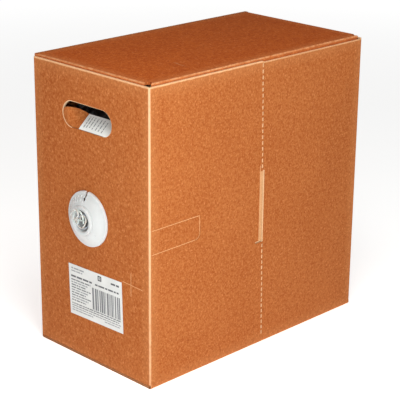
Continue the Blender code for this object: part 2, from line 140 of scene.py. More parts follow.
# Camera, which looks down on the payout end and the near side wall.
CAMERA_PLACE = (-1.0976, -1.0951, 0.7067)
CAMERA_TARGET = (-0.0017, 0.0007, 0.1579)
CAMERA_ROLL = math.radians(0.56)
CAMERA_LENS = 122.6
SENSOR = 36.0


# ---------------------------------------------------------------- stage

def aimed(thing, place, target, roll=0.0):
    """Put a camera or a light at a place, turned to a target."""
    thing.location = place
    aim = Vector(target) - Vector(place)
    turn = aim.to_track_quat("-Z", "Y").to_matrix() @ Matrix.Rotation(roll, 3, "Z")
    thing.rotation_euler = turn.to_euler()
    bpy.context.scene.collection.objects.link(thing)


def make_camera():
    data = bpy.data.cameras.new("camera")
    data.lens = CAMERA_LENS
    data.sensor_width = SENSOR
    data.clip_end = 20.0
    camera = bpy.data.objects.new("camera", data)
    aimed(camera, CAMERA_PLACE, CAMERA_TARGET, CAMERA_ROLL)
    bpy.context.scene.camera = camera


def area_light(name, place, target, size, power, colour):
    """Square area light that the camera doesn't see."""
    data = bpy.data.lights.new(name, "AREA")
    data.shape = "RECTANGLE"
    data.size = data.size_y = size
    data.energy = power
    data.color = colour
    light = bpy.data.objects.new(name, data)
    light.visible_camera = False
    aimed(light, place, target)


def make_stage():
    world = bpy.data.worlds.new("studio")
    bpy.context.scene.world = world
    world.use_nodes = True
    nodes, links = world.node_tree.nodes, world.node_tree.links
    background = nodes["Background"]
    coords = nodes.new("ShaderNodeTexCoord")
    split = nodes.new("ShaderNodeSeparateXYZ")
    ramp = nodes.new("ShaderNodeValToRGB")
    ramp.color_ramp.elements[0].position = 0.0
    ramp.color_ramp.elements[0].color = (1.0, 1.0, 1.0, 1.0)
    ramp.color_ramp.elements[1].position = 0.75
    ramp.color_ramp.elements[1].color = (0.62, 0.62, 0.62, 1.0)
    links.new(coords.outputs["Generated"], split.inputs[0])
    links.new(split.outputs["Z"], ramp.inputs[0])
    links.new(ramp.outputs[0], background.inputs["Color"])
    background.inputs["Strength"].default_value = 0.26

    floor_shape = bmesh.new()
    bmesh.ops.create_grid(floor_shape, x_segments=8, y_segments=8, size=8.0)
    floor = finish_mesh("floor", floor_shape, [floor_material()])
    floor.location.z = -0.0003

    area_light("key", (-0.45, -0.64, 0.33), (-0.14, -0.09, 0.18), 0.3, 2.35, (0.89, 1.04, 1.08))
    area_light("front_fill", (-1.05, -0.46, 0.60), (-0.17, -0.04, 0.22), 0.5, 1.32,
               (1.0, 0.92, 0.86))
    area_light("top", (-0.36, -0.42, 1.25), (-0.05, 0, 0.35), 0.7, 8.1, (1.0, 0.98, 0.93))
    bpy.context.scene.view_settings.view_transform = "Standard"


# ---------------------------------------------------------------- materials

class Nodes:
    """Small helper that wires a Principled material."""

    def __init__(self, name, roughness, metallic=0.0):
        self.material = bpy.data.materials.new(name)
        self.material.use_nodes = True
        self.tree = self.material.node_tree
        self.shader = self.tree.nodes["Principled BSDF"]
        self.shader.inputs["Roughness"].default_value = roughness
        self.shader.inputs["Metallic"].default_value = metallic
        coords = self.tree.nodes.new("ShaderNodeTexCoord")
        self.place = coords.outputs["Object"]

    def link(self, source, target):
        self.tree.links.new(source, target)

    def axes(self):
        """Outputs X, Y and Z of the place on the object."""
        split = self.tree.nodes.new("ShaderNodeSeparateXYZ")
        self.link(self.place, split.inputs[0])
        return split.outputs

    def scaled(self, scale):
        mapping = self.tree.nodes.new("ShaderNodeMapping")
        mapping.inputs["Scale"].default_value = scale
        self.link(self.place, mapping.inputs["Vector"])
        return mapping.outputs[0]

    def noise(self, scale, detail=3.0, roughness=0.55, stretch=(1, 1, 1)):
        node = self.tree.nodes.new("ShaderNodeTexNoise")
        node.inputs["Scale"].default_value = scale
        node.inputs["Detail"].default_value = detail
        node.inputs["Roughness"].default_value = roughness
        self.link(self.scaled(stretch), node.inputs["Vector"])
        return node.outputs["Fac"]

    def math(self, operation, first, second=None, clamp=False):
        node = self.tree.nodes.new("ShaderNodeMath")
        node.operation = operation
        node.use_clamp = clamp
        for socket, value in zip(node.inputs, (first, second)):
            if value is None:
                continue
            if isinstance(value, (int, float)):
                socket.default_value = value
            else:
                self.link(value, socket)
        return node.outputs[0]

    def ramp(self, source, stops):
        """Colour ramp. stops are (position, colour)."""
        node = self.tree.nodes.new("ShaderNodeValToRGB")
        elements = node.color_ramp.elements
        while len(elements) < len(stops):
            elements.new(0.5)
        for element, (position, colour) in zip(elements, stops):
            element.position = position
            element.color = (*colour, 1.0)
        self.link(source, node.inputs[0])
        return node.outputs[0]

    def mix(self, factor, first, second, blend="MIX"):
        node = self.tree.nodes.new("ShaderNodeMix")
        node.data_type = "RGBA"
        node.blend_type = blend
        for socket, value in ((node.inputs[0], factor), (node.inputs[6], first), (node.inputs[7], second)):
            if isinstance(value, (int, float)):
                socket.default_value = value
            elif isinstance(value, tuple):
                socket.default_value = (*value, 1.0)
            else:
                self.link(value, socket)
        return node.outputs[2]

    def band(self, source, start, end):
        """0 at start, 1 at end, held outside."""
        node = self.tree.nodes.new("ShaderNodeMapRange")
        node.inputs["From Min"].default_value = start
        node.inputs["From Max"].default_value = end
        self.link(source, node.inputs["Value"])
        return node.outputs[0]

    def bump(self, height, strength, distance):
        node = self.tree.nodes.new("ShaderNodeBump")
        node.inputs["Strength"].default_value = strength
        node.inputs["Distance"].default_value = distance
        self.link(height, node.inputs["Height"])
        self.link(node.outputs[0], self.shader.inputs["Normal"])

    def colour(self, source):
        self.link(source, self.shader.inputs["Base Color"])

    def rough(self, source):
        self.link(source, self.shader.inputs["Roughness"])


def floor_material():
    made = Nodes("floor", 0.9)
    tone = made.ramp(made.noise(3.0), [(0.3, (0.90, 0.90, 0.90)), (0.7, (0.92, 0.92, 0.92))])
    made.colour(tone)
    axes = made.axes()
    squares = [made.math("MULTIPLY", axes[axis], axes[axis]) for axis in "XY"]
    away = made.band(made.math("ADD", *squares), 0.3, 5.0)
    glow = made.ramp(away, [(0.0, (0.70, 0.70, 0.70)), (1.0, (1.0, 1.0, 1.0))])
    made.link(glow, made.shader.inputs["Emission Color"])
    made.shader.inputs["Emission Strength"].default_value = 0.86
    return made.material


def edge_distance(made, half_x, half_y, top_z):
    """Distance along a box's surface to its closest edge, and to its near front upright edge."""
    axes = made.axes()
    from_end = made.math("SUBTRACT", half_x, made.math("ABSOLUTE", axes["X"]))
    from_side = made.math("SUBTRACT", half_y, made.math("ABSOLUTE", axes["Y"]))
    from_ends = made.math("MINIMUM", made.math("SUBTRACT", top_z, axes["Z"]), axes["Z"])
    low = made.math("MINIMUM", from_end, from_side)
    high = made.math("MAXIMUM", from_end, from_side)
    closest = made.math("MAXIMUM", low, made.math("MINIMUM", high, from_ends))
    upright = made.math("MAXIMUM", made.math("ADD", axes["X"], half_x),
                        made.math("ADD", axes["Y"], half_y))
    return closest, upright


def kraft_material(name, edges=None, wear=0.5, tint=(1.0, 1.0, 1.0), cut_top=False):
    """Speckled brown kraft liner: fibres, mottling, faint flute lines, worn edges and a painted highlight
    on the near front upright edge.

    edges is (half_x, half_y, top_z) of the box whose edges are rubbed pale, and cut_top says
    that its top is a raw cut edge.
    """
    made = Nodes(name, 0.9)
    made.shader.inputs["Specular IOR Level"].default_value = 0.12
    mottle = made.noise(230.0, 4.0, 0.7)
    cloud = made.noise(11.0, 3.0, 0.5)
    fibre = made.noise(520.0, 3.0, 0.75, (1.0, 1.0, 0.8))
    value = made.math("ADD", made.math("MULTIPLY", mottle, 0.42), made.math("MULTIPLY", fibre, 0.50))
    value = made.math("ADD", value, made.math("MULTIPLY", cloud, 0.08))
    tones = [tuple(channel * share for channel, share in zip(tone, tint)) for tone in (
        (0.360, 0.086, 0.016), (0.450, 0.131, 0.032), (0.540, 0.186, 0.055))]
    colour = made.ramp(value, [(0.40, tones[0]), (0.5, tones[1]), (0.60, tones[2])])
    dark_specks = made.band(made.noise(640.0, 2.0, 0.6), 0.60, 0.70)
    colour = made.mix(made.math("MULTIPLY", dark_specks, 0.42), colour, (0.22, 0.05, 0.010))
    pale_specks = made.band(made.noise(520.0, 2.0, 0.5, (1.0, 1.0, 0.8)), 0.61, 0.72)
    colour = made.mix(made.math("MULTIPLY", pale_specks, 0.26), colour, (0.86, 0.38, 0.17))
    axes = made.axes()
    along = made.math("ADD", axes["X"], axes["Y"])
    wave = made.math("SINE", made.math("MULTIPLY", along, 2 * math.pi / FLUTE_PITCH))
    if edges:
        closest, upright = edge_distance(made, *edges)
        patchy = made.band(made.noise(150.0, 3.0, 0.6), 0.30, 0.60)
        line = made.math("MULTIPLY", made.band(closest, 0.0022, 0.0007), patchy)
        colour = made.mix(made.math("MULTIPLY", line, wear), colour, (0.88, 0.48, 0.24))
        halo = made.band(closest, 0.016, 0.002)
        colour = made.mix(made.math("MULTIPLY", halo, 0.14), colour, (0.80, 0.38, 0.15))
        # Pale mark on the near front upright edge only, the edge facing the camera and key light, paler
        # higher up: partly rubbed wear, partly a painted highlight.
        rubbed = made.band(made.noise(90.0, 2.0, 0.6), 0.20, 0.42)
        corner = made.math("MULTIPLY", made.band(upright, 0.0022, 0.0012), rubbed)
        rising = made.band(axes["Z"], 0.02, 0.22)
        highlight_and_wear_rise = made.math("ADD", 0.38, made.math("MULTIPLY", rising, 0.5))
        colour = made.mix(made.math("MULTIPLY", corner, highlight_and_wear_rise), colour, (0.93, 0.50, 0.28))
    if cut_top:
        raw = made.band(made.math("SUBTRACT", edges[2], axes["Z"]), 0.0014, 0.0006)
        colour = made.mix(made.math("MULTIPLY", raw, wear), colour, (0.92, 0.52, 0.27))
    made.colour(colour)
    made.rough(made.band(mottle, -3.0, 1.2))
    height = made.math("ADD", made.math("MULTIPLY", fibre, 0.6), made.math("MULTIPLY", wave, 0.10))
    made.bump(height, 0.30, 0.0002)
    return made.material


def cut_edge_material(name, colour_low, colour_high):
    """Raw pale fibre where the board is cut, scored or fluted."""
    made = Nodes(name, 0.92)
    fibre = made.noise(900.0, 3.0, 0.7)
    made.colour(made.ramp(fibre, [(0.35, colour_low), (0.65, colour_high)]))
    made.bump(fibre, 0.5, 0.00015)
    return made.material


def paper_material(name, low, high):
    made = Nodes(name, 0.62)
    grain = made.noise(1200.0, 3.0, 0.6)
    tone = made.noise(60.0, 2.0)
    made.colour(made.ramp(tone, [(0.3, low), (0.7, high)]))
    made.bump(grain, 0.12, 0.00008)
    return made.material


def ink_material(name, colour):
    made = Nodes(name, 0.55)
    low = tuple(channel * 0.8 for channel in colour)
    made.colour(made.ramp(made.noise(1500.0, 2.0), [(0.3, low), (0.7, colour)]))
    return made.material


def plastic_material():
    """White moulded plastic with faint flow marks and fine texture."""
    made = Nodes("flange_plastic", 0.36)
    tone = made.noise(55.0, 3.0, 0.5)
    made.colour(made.ramp(tone, [(0.3, (0.63, 0.63, 0.62)), (0.7, (0.69, 0.69, 0.69))]))
    made.rough(made.band(made.noise(240.0, 2.0), -0.3, 1.9))
    made.shader.inputs["Subsurface Weight"].default_value = 0.12
    made.shader.inputs["Subsurface Radius"].default_value = (0.004, 0.003, 0.003)
    made.shader.inputs["Subsurface Scale"].default_value = 1.0
    made.bump(made.noise(700.0, 2.0), 0.08, 0.0001)
    return made.material


def jacket_material(name, shade_share):
    """Light grey cable jacket, slightly rubbed where turns lie on each other. A share below one darkens it
    as painted shade.
    """
    made = Nodes(name, 0.45)
    tone = made.noise(70.0, 3.0)
    low, high = (tuple(shade_share * channel for channel in colour) for colour in (
        (0.44, 0.45, 0.46), (0.58, 0.59, 0.60)))
    made.colour(made.ramp(tone, [(0.3, low), (0.7, high)]))
    made.rough(made.band(made.noise(400.0, 2.0), -0.4, 1.7))
    made.bump(made.noise(900.0, 2.0), 0.1, 0.0001)
    return made.material


# ---------------------------------------------------------------- mesh helpers

def finish_mesh(name, shape, materials, smooth=False):
    """Object from a bmesh, with its faces turned outwards."""
    bmesh.ops.recalc_face_normals(shape, faces=shape.faces)
    mesh = bpy.data.meshes.new(name)
    shape.to_mesh(mesh)
    shape.free()
    for material in materials:
        mesh.materials.append(material)
    if smooth:
        mesh.polygons.foreach_set("use_smooth", [True] * len(mesh.polygons))
    made = bpy.data.objects.new(name, mesh)
    bpy.context.scene.collection.objects.link(made)
    return made


def add_prism(shape, outline, place, low, high, cap_index=0, side_index=0):
    """Prism over an (s, t) outline between two depths. place(s, t, depth) gives a point."""
    bottom = [shape.verts.new(place(s, t, low)) for s, t in outline]
    top = [shape.verts.new(place(s, t, high)) for s, t in outline]
    faces = [(shape.faces.new(bottom[::-1]), cap_index), (shape.faces.new(top), cap_index)]
    for index in range(len(outline)):
        after = (index + 1) % len(outline)
        face = shape.faces.new((bottom[index], bottom[after], top[after], top[index]))
        faces.append((face, side_index))
    for face, material_index in faces:
        face.material_index = material_index


def add_hexahedron(shape, low_corners, high_corners):
    """Block between two four-sided ends."""
    low = [shape.verts.new(point) for point in low_corners]
    high = [shape.verts.new(point) for point in high_corners]
    shape.faces.new(low[::-1])
    shape.faces.new(high)
    for index in range(4):
        beside = (index + 1) % 4
        shape.faces.new((low[index], low[beside], high[beside], high[index]))


def add_strip(shape, columns, closed=False, material_index=0):
    """Closed sheet from columns of four points: outer low, outer high, inner high, inner low."""
    rows = [[shape.verts.new(point) for point in column] for column in columns]
    count = len(rows)
    last = count if closed else count - 1
    for index in range(last):
        here, after = rows[index], rows[(index + 1) % count]
        for corner in range(4):
            beside = (corner + 1) % 4
            face = shape.faces.new((here[corner], after[corner], after[beside], here[beside]))
            face.material_index = material_index
    if not closed:
        shape.faces.new(rows[0]).material_index = material_index
        shape.faces.new(rows[-1][::-1]).material_index = material_index


def outline_span(outline, s):
    """Lowest and highest t of a convex (s, t) outline at s."""
    hits = []
    for index, (s0, t0) in enumerate(outline):
        s1, t1 = outline[(index + 1) % len(outline)]
        if min(s0, s1) <= s <= max(s0, s1) and abs(s1 - s0) > 1e-9:
            hits.append(t0 + (t1 - t0) * (s - s0) / (s1 - s0))
    return min(hits), max(hits)


def fluted_board(shape, outline, place):
    """Two liners and a waved medium over a convex outline. Flutes run along t."""
    add_prism(shape, outline, place, 0.0, LINER, 0, 1)
    add_prism(shape, outline, place, BOARD - LINER, BOARD, 0, 1)
    low_s = min(s for s, t in outline) + LINER
    high_s = max(s for s, t in outline) - LINER
    step = FLUTE_PITCH / FLUTE_STEPS
    count = int((high_s - low_s) / step)
    columns = []
    for index in range(count + 1):
        s = low_s + (high_s - low_s) * index / count
        low_t, high_t = outline_span(outline, s)
        depth = flute_depth(s)
        inner, outer = depth + MEDIUM / 2, depth - MEDIUM / 2
        columns.append([place(s, low_t, outer), place(s, high_t, outer),
                        place(s, high_t, inner), place(s, low_t, inner)])
    add_strip(shape, columns, material_index=2)


def flute_depth(s):
    """Depth of the medium's middle at a distance across the flutes."""
    swing = BOARD / 2 - LINER - MEDIUM / 2
    return BOARD / 2 + swing * math.sin(2 * math.pi * s / FLUTE_PITCH)


def panel_place(origin, s_axis, t_axis, depth_axis):
    origin, s_axis, t_axis, depth_axis = map(Vector, (origin, s_axis, t_axis, depth_axis))
    return lambda s, t, depth: origin + s_axis * s + t_axis * t + depth_axis * depth


def apply_modifiers(made):
    """Keep the modified mesh as the object's own mesh."""
    graph = bpy.context.evaluated_depsgraph_get()
    mesh = bpy.data.meshes.new_from_object(made.evaluated_get(graph))
    made.modifiers.clear()
    made.data = mesh


def cut_with(made, shapes):
    """Cut each shape out of an object and remove the cutters."""
    for shape in shapes:
        cutter = finish_mesh("cutter", shape, list(made.data.materials))
        modifier = made.modifiers.new("cut", "BOOLEAN")
        modifier.operation = "DIFFERENCE"
        modifier.solver = "EXACT"
        modifier.object = cutter
        apply_modifiers(made)
        bpy.data.objects.remove(cutter)


def level(s, t, z):
    """Place for a prism that stands along Z."""
    return Vector((s, t, z))


def add_box(shape, low, high, material_index=0):
    outline = [(low[0], low[1]), (high[0], low[1]), (high[0], high[1]), (low[0], high[1])]
    add_prism(shape, outline, level, low[2], high[2], material_index, material_index)


def box_shape(low, high, material_index=1):
    shape = bmesh.new()
    add_box(shape, low, high, material_index)
    return shape


def merge_shapes(shapes):
    merged = bmesh.new()
    for shape in shapes:
        scratch = bpy.data.meshes.new("scratch")
        shape.to_mesh(scratch)
        shape.free()
        merged.from_mesh(scratch)
        bpy.data.meshes.remove(scratch)
    return merged


def outline_cutter(outline, x_low, x_high):
    """Cutter along X over a (y, z) outline."""
    shape = bmesh.new()
    add_prism(shape, outline, lambda s, t, x: Vector((x, s, t)), x_low, x_high, 1, 1)
    return shape


def arc(centre, radius, start, end, steps):
    return [(centre[0] + radius * math.cos(start + (end - start) * step / steps),
             centre[1] + radius * math.sin(start + (end - start) * step / steps))
            for step in range(steps + 1)]


def circle(centre, radius, steps):
    return arc(centre, radius, 0.0, 2 * math.pi, steps)[:-1]


def sided(made, smooth_angle=35.0):
    """Smooth shading that keeps corners sharper than an angle."""
    mesh = made.data
    mesh.polygons.foreach_set("use_smooth", [True] * len(mesh.polygons))
    mesh.set_sharp_from_angle(angle=math.radians(smooth_angle))


def put(made, body, slot, *replaced):
    """Ride on a body and stand for CAD nodes, which it hides. slot is not used."""
    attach(made, body)
    if replaced:
        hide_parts(*replaced)
    return made


# ---------------------------------------------------------------- carton walls

def ring_path(offset, straight_step=None):
    """Closed plan path of the walls at a depth, from the far back corner round."""
    radius = max(CORNER_RADIUS - offset, 0.0001)
    corner_x = HALF_LENGTH - offset - radius
    corner_y = HALF_WIDTH - offset - radius
    points = []
    turns = [((corner_x, corner_y), 0.0), ((-corner_x, corner_y), math.pi / 2),
             ((-corner_x, -corner_y), math.pi), ((corner_x, -corner_y), 1.5 * math.pi)]
    for index, (centre, start) in enumerate(turns):
        points += arc(centre, radius, start, start + math.pi / 2, CORNER_STEPS)
        if straight_step:
            after = turns[(index + 1) % 4]
            ahead = Vector(arc(after[0], radius, after[1], after[1], 1)[0])
            here = Vector(points[-1])
            count = int((ahead - here).length / straight_step)
            points += [tuple(here.lerp(ahead, step / count)) for step in range(1, count)]
    return points


def path_lengths(points):
    lengths = [0.0]
    for here, after in zip(points, points[1:] + points[:1]):
        lengths.append(lengths[-1] + (Vector(after) - Vector(here)).length)
    return lengths


def upright_columns(outer, inner, low_z, high_z):
    """Columns of an upright sheet between two plan paths."""
    return [[Vector((*here, low_z)), Vector((*here, high_z)),
             Vector((*behind, high_z)), Vector((*behind, low_z))]
            for here, behind in zip(outer, inner)]


def wall_liner(shape, depth, low_z, high_z):
    add_strip(shape, upright_columns(ring_path(depth), ring_path(depth + LINER), low_z, high_z),
              closed=True)


def wall_medium(shape, low_z, high_z):
    points = ring_path(BOARD / 2, FLUTE_PITCH / FLUTE_STEPS)
    lengths = path_lengths(points)
    waves = round(lengths[-1] / FLUTE_PITCH)
    pitch = lengths[-1] / waves
    swing = BOARD / 2 - LINER - MEDIUM / 2 - 0.00002
    outer, inner = [], []
    for index, point in enumerate(points):
        before = Vector(points[index - 1])
        after = Vector(points[(index + 1) % len(points)])
        along = (after - before).normalized()
        inward = Vector((-along.y, along.x))
        shift = swing * math.sin(2 * math.pi * lengths[index] / pitch)
        beyond = (abs(point[0]) - HALF_LENGTH + CORNER_RADIUS, abs(point[1]) - HALF_WIDTH + CORNER_RADIUS)
        if min(beyond) > -1e-6:
            shift = min(shift, 0.0005)
        outer.append(Vector(point) + inward * (shift - MEDIUM / 2))
        inner.append(Vector(point) + inward * (shift + MEDIUM / 2))
    columns = upright_columns(outer, inner, low_z, high_z)
    add_strip(shape, columns, closed=True, material_index=2)


def hand_hole_outline(grow=0.0):
    """Hand hole (y, z), from the near end of its fold round to the far end of it."""
    radius = HAND_HOLE_HEIGHT / 2
    reach = HAND_HOLE_WIDTH / 2 - radius
    middle = FLAP_FOLD.z + radius
    right = arc((CUTOUT_Y + reach, middle), radius + grow, -math.pi / 2, math.pi / 2, 16)
    left = arc((CUTOUT_Y - reach, middle), radius + grow, math.pi / 2, 1.5 * math.pi, 16)
    return right + left


def tear_line_x(z):
    return TEAR_LINE_X - (z - HEIGHT / 2) * math.tan(TEAR_LINE_LEAN)


def slit_heights():
    """Lower ends of the tear line's slits, from the top of the wall down."""
    heights = []
    z = WALL_TOP - WALL_TOP_STEP - 0.0012 - SLIT_LENGTH
    while z > WALL_BOTTOM + TEAR_LINE_MARGIN:
        if not (z + SLIT_LENGTH + 0.001 > FINGER_CUT[0] and z < FINGER_CUT[1] + SLIT_PITCH - SLIT_LENGTH):
            heights.append(z)
        z -= SLIT_PITCH
    return heights


def tear_line_cutters():
    """Slits through the near wall, the long finger cut and its tick."""
    low_y = -HALF_WIDTH - BOARD
    high_y = -HALF_WIDTH + 2 * BOARD
    slits = []
    for z in slit_heights():
        x = tear_line_x(z + SLIT_LENGTH / 2)
        slits.append(box_shape((x - SLIT_WIDTH / 2, low_y, z),
                               (x + SLIT_WIDTH / 2, high_y, z + SLIT_LENGTH)))
    x = tear_line_x(sum(FINGER_CUT) / 2)
    slits.append(box_shape((x - FINGER_CUT_WIDTH / 2, low_y, FINGER_CUT[0]),
                           (x + FINGER_CUT_WIDTH / 2, high_y, FINGER_CUT[1])))
    x = tear_line_x(FINGER_CUT[0])
    tick = box_shape((x - TICK_LENGTH, low_y, FINGER_CUT[0]),
                     (x, high_y, FINGER_CUT[0] + FINGER_CUT_WIDTH))
    return [merge_shapes(slits), tick]


def wall_step_cutter():
    x = tear_line_x(WALL_TOP)
    return box_shape((x, -HALF_WIDTH - BOARD, WALL_TOP - WALL_TOP_STEP),
                     (HALF_LENGTH - BOARD, -HALF_WIDTH + BOARD * 1.1, WALL_TOP + BOARD))


def hole_rise(s, gap=0.0):
    """Height of a hand hole's outline above its fold, s from its middle and a gap inside it."""
    radius = HAND_HOLE_HEIGHT / 2
    beyond = max(abs(s) - (HAND_HOLE_WIDTH / 2 - radius), 0.0)
    return radius - math.sqrt(max((radius - gap) ** 2 - beyond * beyond, 0.0))


def crease_cutter(side, fold):
    """Wedge off a hand hole's lower edge and corners, so that the flap can turn inwards."""
    reach = HAND_HOLE_WIDTH / 2 - HAND_HOLE_HEIGHT / 2
    corner = [0.0, 0.0015, 0.003, 0.0045, 0.006, 0.0075, 0.0088, CREASE_CORNER]
    stations = [-reach - step for step in reversed(corner)] + [reach + step for step in corner]
    outer_x, inner_x = side * HALF_LENGTH, side * (HALF_LENGTH - 2 * BOARD)
    columns = []
    for s in stations:
        y, low = fold.y + s, fold.z + hole_rise(s)
        columns.append([Vector((outer_x, y, low)),
                        Vector((inner_x, y, low - 2 * BOARD * CREASE_SLOPE)),
                        Vector((inner_x, y, low + BOARD)), Vector((outer_x, y, low + BOARD))])
    shape = bmesh.new()
    add_strip(shape, columns, material_index=1)
    return shape


def make_walls(kraft, edge, medium):
    """The four walls as one band of board, folded round at its corners."""
    low_z = FLOOR_FLAP[1].z + FOLD_RADIUS + 0.0004
    shape = bmesh.new()
    wall_liner(shape, 0.0, low_z, WALL_TOP)
    wall_liner(shape, BOARD - LINER, low_z, WALL_TOP)
    wall_medium(shape, low_z, WALL_TOP)
    bmesh.ops.recalc_face_normals(shape, faces=shape.faces)
    for face in shape.faces:
        if abs(face.normal.z) > 0.9:
            face.material_index = 1
    walls = finish_mesh("carton_walls", shape, [kraft, edge, medium])
    reach = 2 * BOARD
    cutters = tear_line_cutters() + [wall_step_cutter()]
    for side, fold in ((-1, FLAP_FOLD), (1, BACK_FLAP_FOLD)):
        ends = sorted((side * (HALF_LENGTH + reach), side * (HALF_LENGTH - reach)))
        cutters += [outline_cutter(hand_hole_outline(), *ends), crease_cutter(side, fold)]
    cutters.append(outline_cutter(circle((CUTOUT_Y, TUBE_Z), TUBE_HOLE_RADIUS, 48),
                                  -HALF_LENGTH - reach, -HALF_LENGTH + reach))
    cut_with(walls, cutters)
    sided(walls)
    put(walls, "carton", "kraft_board", "near_side_wall", "far_side_wall", "front_end_wall",
        "back_end_wall")


def make_wall_top(edge):
    """Fibre crushed over the flutes along the walls' cut top, lower beyond the tear line."""
    step_x = tear_line_x(WALL_TOP)
    corner_points = CORNER_STEPS + 1
    sides = []
    for depth in (LINER + 0.00002, BOARD - LINER - 0.00002):
        ring = ring_path(depth)
        sides.append(ring[3 * corner_points:] + ring[:3 * corner_points] + [(step_x, -HALF_WIDTH + depth)])
    low = [[(step_x, here[-1][1]), (HALF_LENGTH - BOARD, here[-1][1])] for here in sides]
    shape = bmesh.new()
    for (outer, inner), top_z in ((sides, WALL_TOP), (low, WALL_TOP - WALL_TOP_STEP)):
        add_strip(shape, upright_columns(outer, inner, top_z - 0.0008, top_z - 0.0001))
    crushed = finish_mesh("wall_top_crush", shape, [edge])
    sided(crushed)
    put(crushed, "carton", "kraft_board")


def make_die_cut_rims(edge):
    """Crushed pale fibre round the hand holes, widest at the far end of each outline."""
    for name, side in (("front", -1), ("back", 1)):
        inner = hand_hole_outline()
        outer = []
        for here, there in zip(inner, hand_hole_outline(0.0009)):
            share = min(max(0.4 + (here[0] - CUTOUT_Y) / HAND_HOLE_WIDTH, 0.25), 1.0)
            outer.append(tuple(Vector(here).lerp(Vector(there), share)))
        face_x = side * (HALF_LENGTH + 0.00004)
        back_x = side * (HALF_LENGTH - BOARD - 0.00005)
        columns = []
        for here, there in zip(inner, outer):
            creased = here[1] < FLAP_FOLD.z + 0.0042
            inside_x = side * (HALF_LENGTH - LINER) if creased else back_x
            low_x, high_x = min(face_x, inside_x), max(face_x, inside_x)
            columns.append([Vector((low_x, *there)), Vector((high_x, *there)),
                            Vector((high_x, *here)), Vector((low_x, *here))])
        shape = bmesh.new()
        add_strip(shape, columns)
        rim = finish_mesh(name + "_hand_hole_rim", shape, [edge])
        sided(rim)
        put(rim, "carton", "kraft_board")


def make_tear_line_lips(edge, crushed):
    """Torn liner standing up beside each slit and the finger cut, and the crushed band."""
    wall_y = -HALF_WIDTH
    bottom, top = FINGER_CUT
    shape = bmesh.new()
    rng = random.Random(3)

    def add_lip(low_x, high_x, low_z, high_z):
        add_box(shape, (low_x, wall_y - LIP_HEIGHT, low_z), (high_x, wall_y + LIP_HEIGHT, high_z))

    for z in slit_heights():
        x = tear_line_x(z + SLIT_LENGTH / 2) - SLIT_WIDTH / 2
        add_lip(x - rng.uniform(0.0008, 0.0013), x, z - 0.0002, z + SLIT_LENGTH)
    x = tear_line_x((bottom + top) / 2) + FINGER_CUT_WIDTH / 2
    add_lip(x - 0.0008, x + 0.0009, bottom, top)
    foot_x = tear_line_x(bottom)
    foot_z = bottom + FINGER_CUT_WIDTH
    add_lip(foot_x - TICK_LENGTH, foot_x - FINGER_CUT_WIDTH, foot_z, foot_z + 0.0009)
    put(finish_mesh("tear_line_lips", shape, [edge]), "carton", "kraft_board")

    band = bmesh.new()
    x -= FINGER_CUT_WIDTH
    score_line(band, [(x - 0.0021, wall_y, bottom + 0.004), (x - 0.0021, wall_y, top - 0.003)], 0.0042)
    score_line(band, [(x - 0.0046, wall_y, bottom + 0.003), (x - 0.0046, wall_y, top + 0.006)],
               SCORE_WIDTH, 0.00008)
    step_z = WALL_TOP - WALL_TOP_STEP - 0.0005
    score_line(band, [(tear_line_x(WALL_TOP), wall_y, step_z), (HALF_LENGTH - BOARD, wall_y, step_z)],
               0.0009)
    put(finish_mesh("finger_cut_band", band, [crushed]), "carton", "kraft_board")


# ---------------------------------------------------------------- bottom flaps

def folded_flap(name, side, reach_to, kraft, edge, medium, axis, fold_at, low_z, span):
    """Bottom flap that turns under from a wall: a round fold, then a flat panel.

    axis is the wall's outward axis (0 for X, 1 for Y), fold_at its outer face, reach_to the
    flap's free edge, and span the two ends of the fold.
    """
    top_z = FLOOR_FLAP[1].z + FOLD_RADIUS + 0.0004
    path = [(side * fold_at, top_z)]
    centre = (side * (fold_at - FOLD_RADIUS), low_z + FOLD_RADIUS)
    start = 0.0 if side > 0 else math.pi
    end = -math.pi / 2 if side > 0 else 1.5 * math.pi
    path += arc(centre, FOLD_RADIUS, start, end, CORNER_STEPS)
    path.append((reach_to, low_z))
    inner_radius = 0.0002
    low, high = span

    def point(distance, height, along):
        if axis == 0:
            return Vector((distance, along, height))
        return Vector((along, distance, height))

    def offset_path(depth):
        kept = max(FOLD_RADIUS - depth, inner_radius)
        shifted = [(path[0][0] - side * depth, path[0][1])]
        bend = (side * (fold_at - depth - kept), low_z + depth + kept)
        shifted += arc(bend, kept, start, end, CORNER_STEPS)
        shifted.append((path[-1][0], low_z + depth))
        return shifted

    shape = bmesh.new()
    for depth in (0.0, BOARD - LINER):
        columns = [[point(*here, low), point(*here, high), point(*behind, high), point(*behind, low)]
                   for here, behind in zip(offset_path(depth), offset_path(depth + LINER))]
        add_strip(shape, columns)
    steps = int((high - low) / (FLUTE_PITCH / FLUTE_STEPS))
    inner_x = side * (fold_at - BOARD)
    columns = []
    for step in range(steps + 1):
        along = low + (high - low) * step / steps
        depth = flute_depth(along - low)
        columns.append([point(inner_x, low_z + depth - MEDIUM / 2, along),
                        point(reach_to, low_z + depth - MEDIUM / 2, along),
                        point(reach_to, low_z + depth + MEDIUM / 2, along),
                        point(inner_x, low_z + depth + MEDIUM / 2, along)])
    add_strip(shape, columns, material_index=2)
    made = finish_mesh(name, shape, [kraft, edge, medium])
    sided(made)
    return made


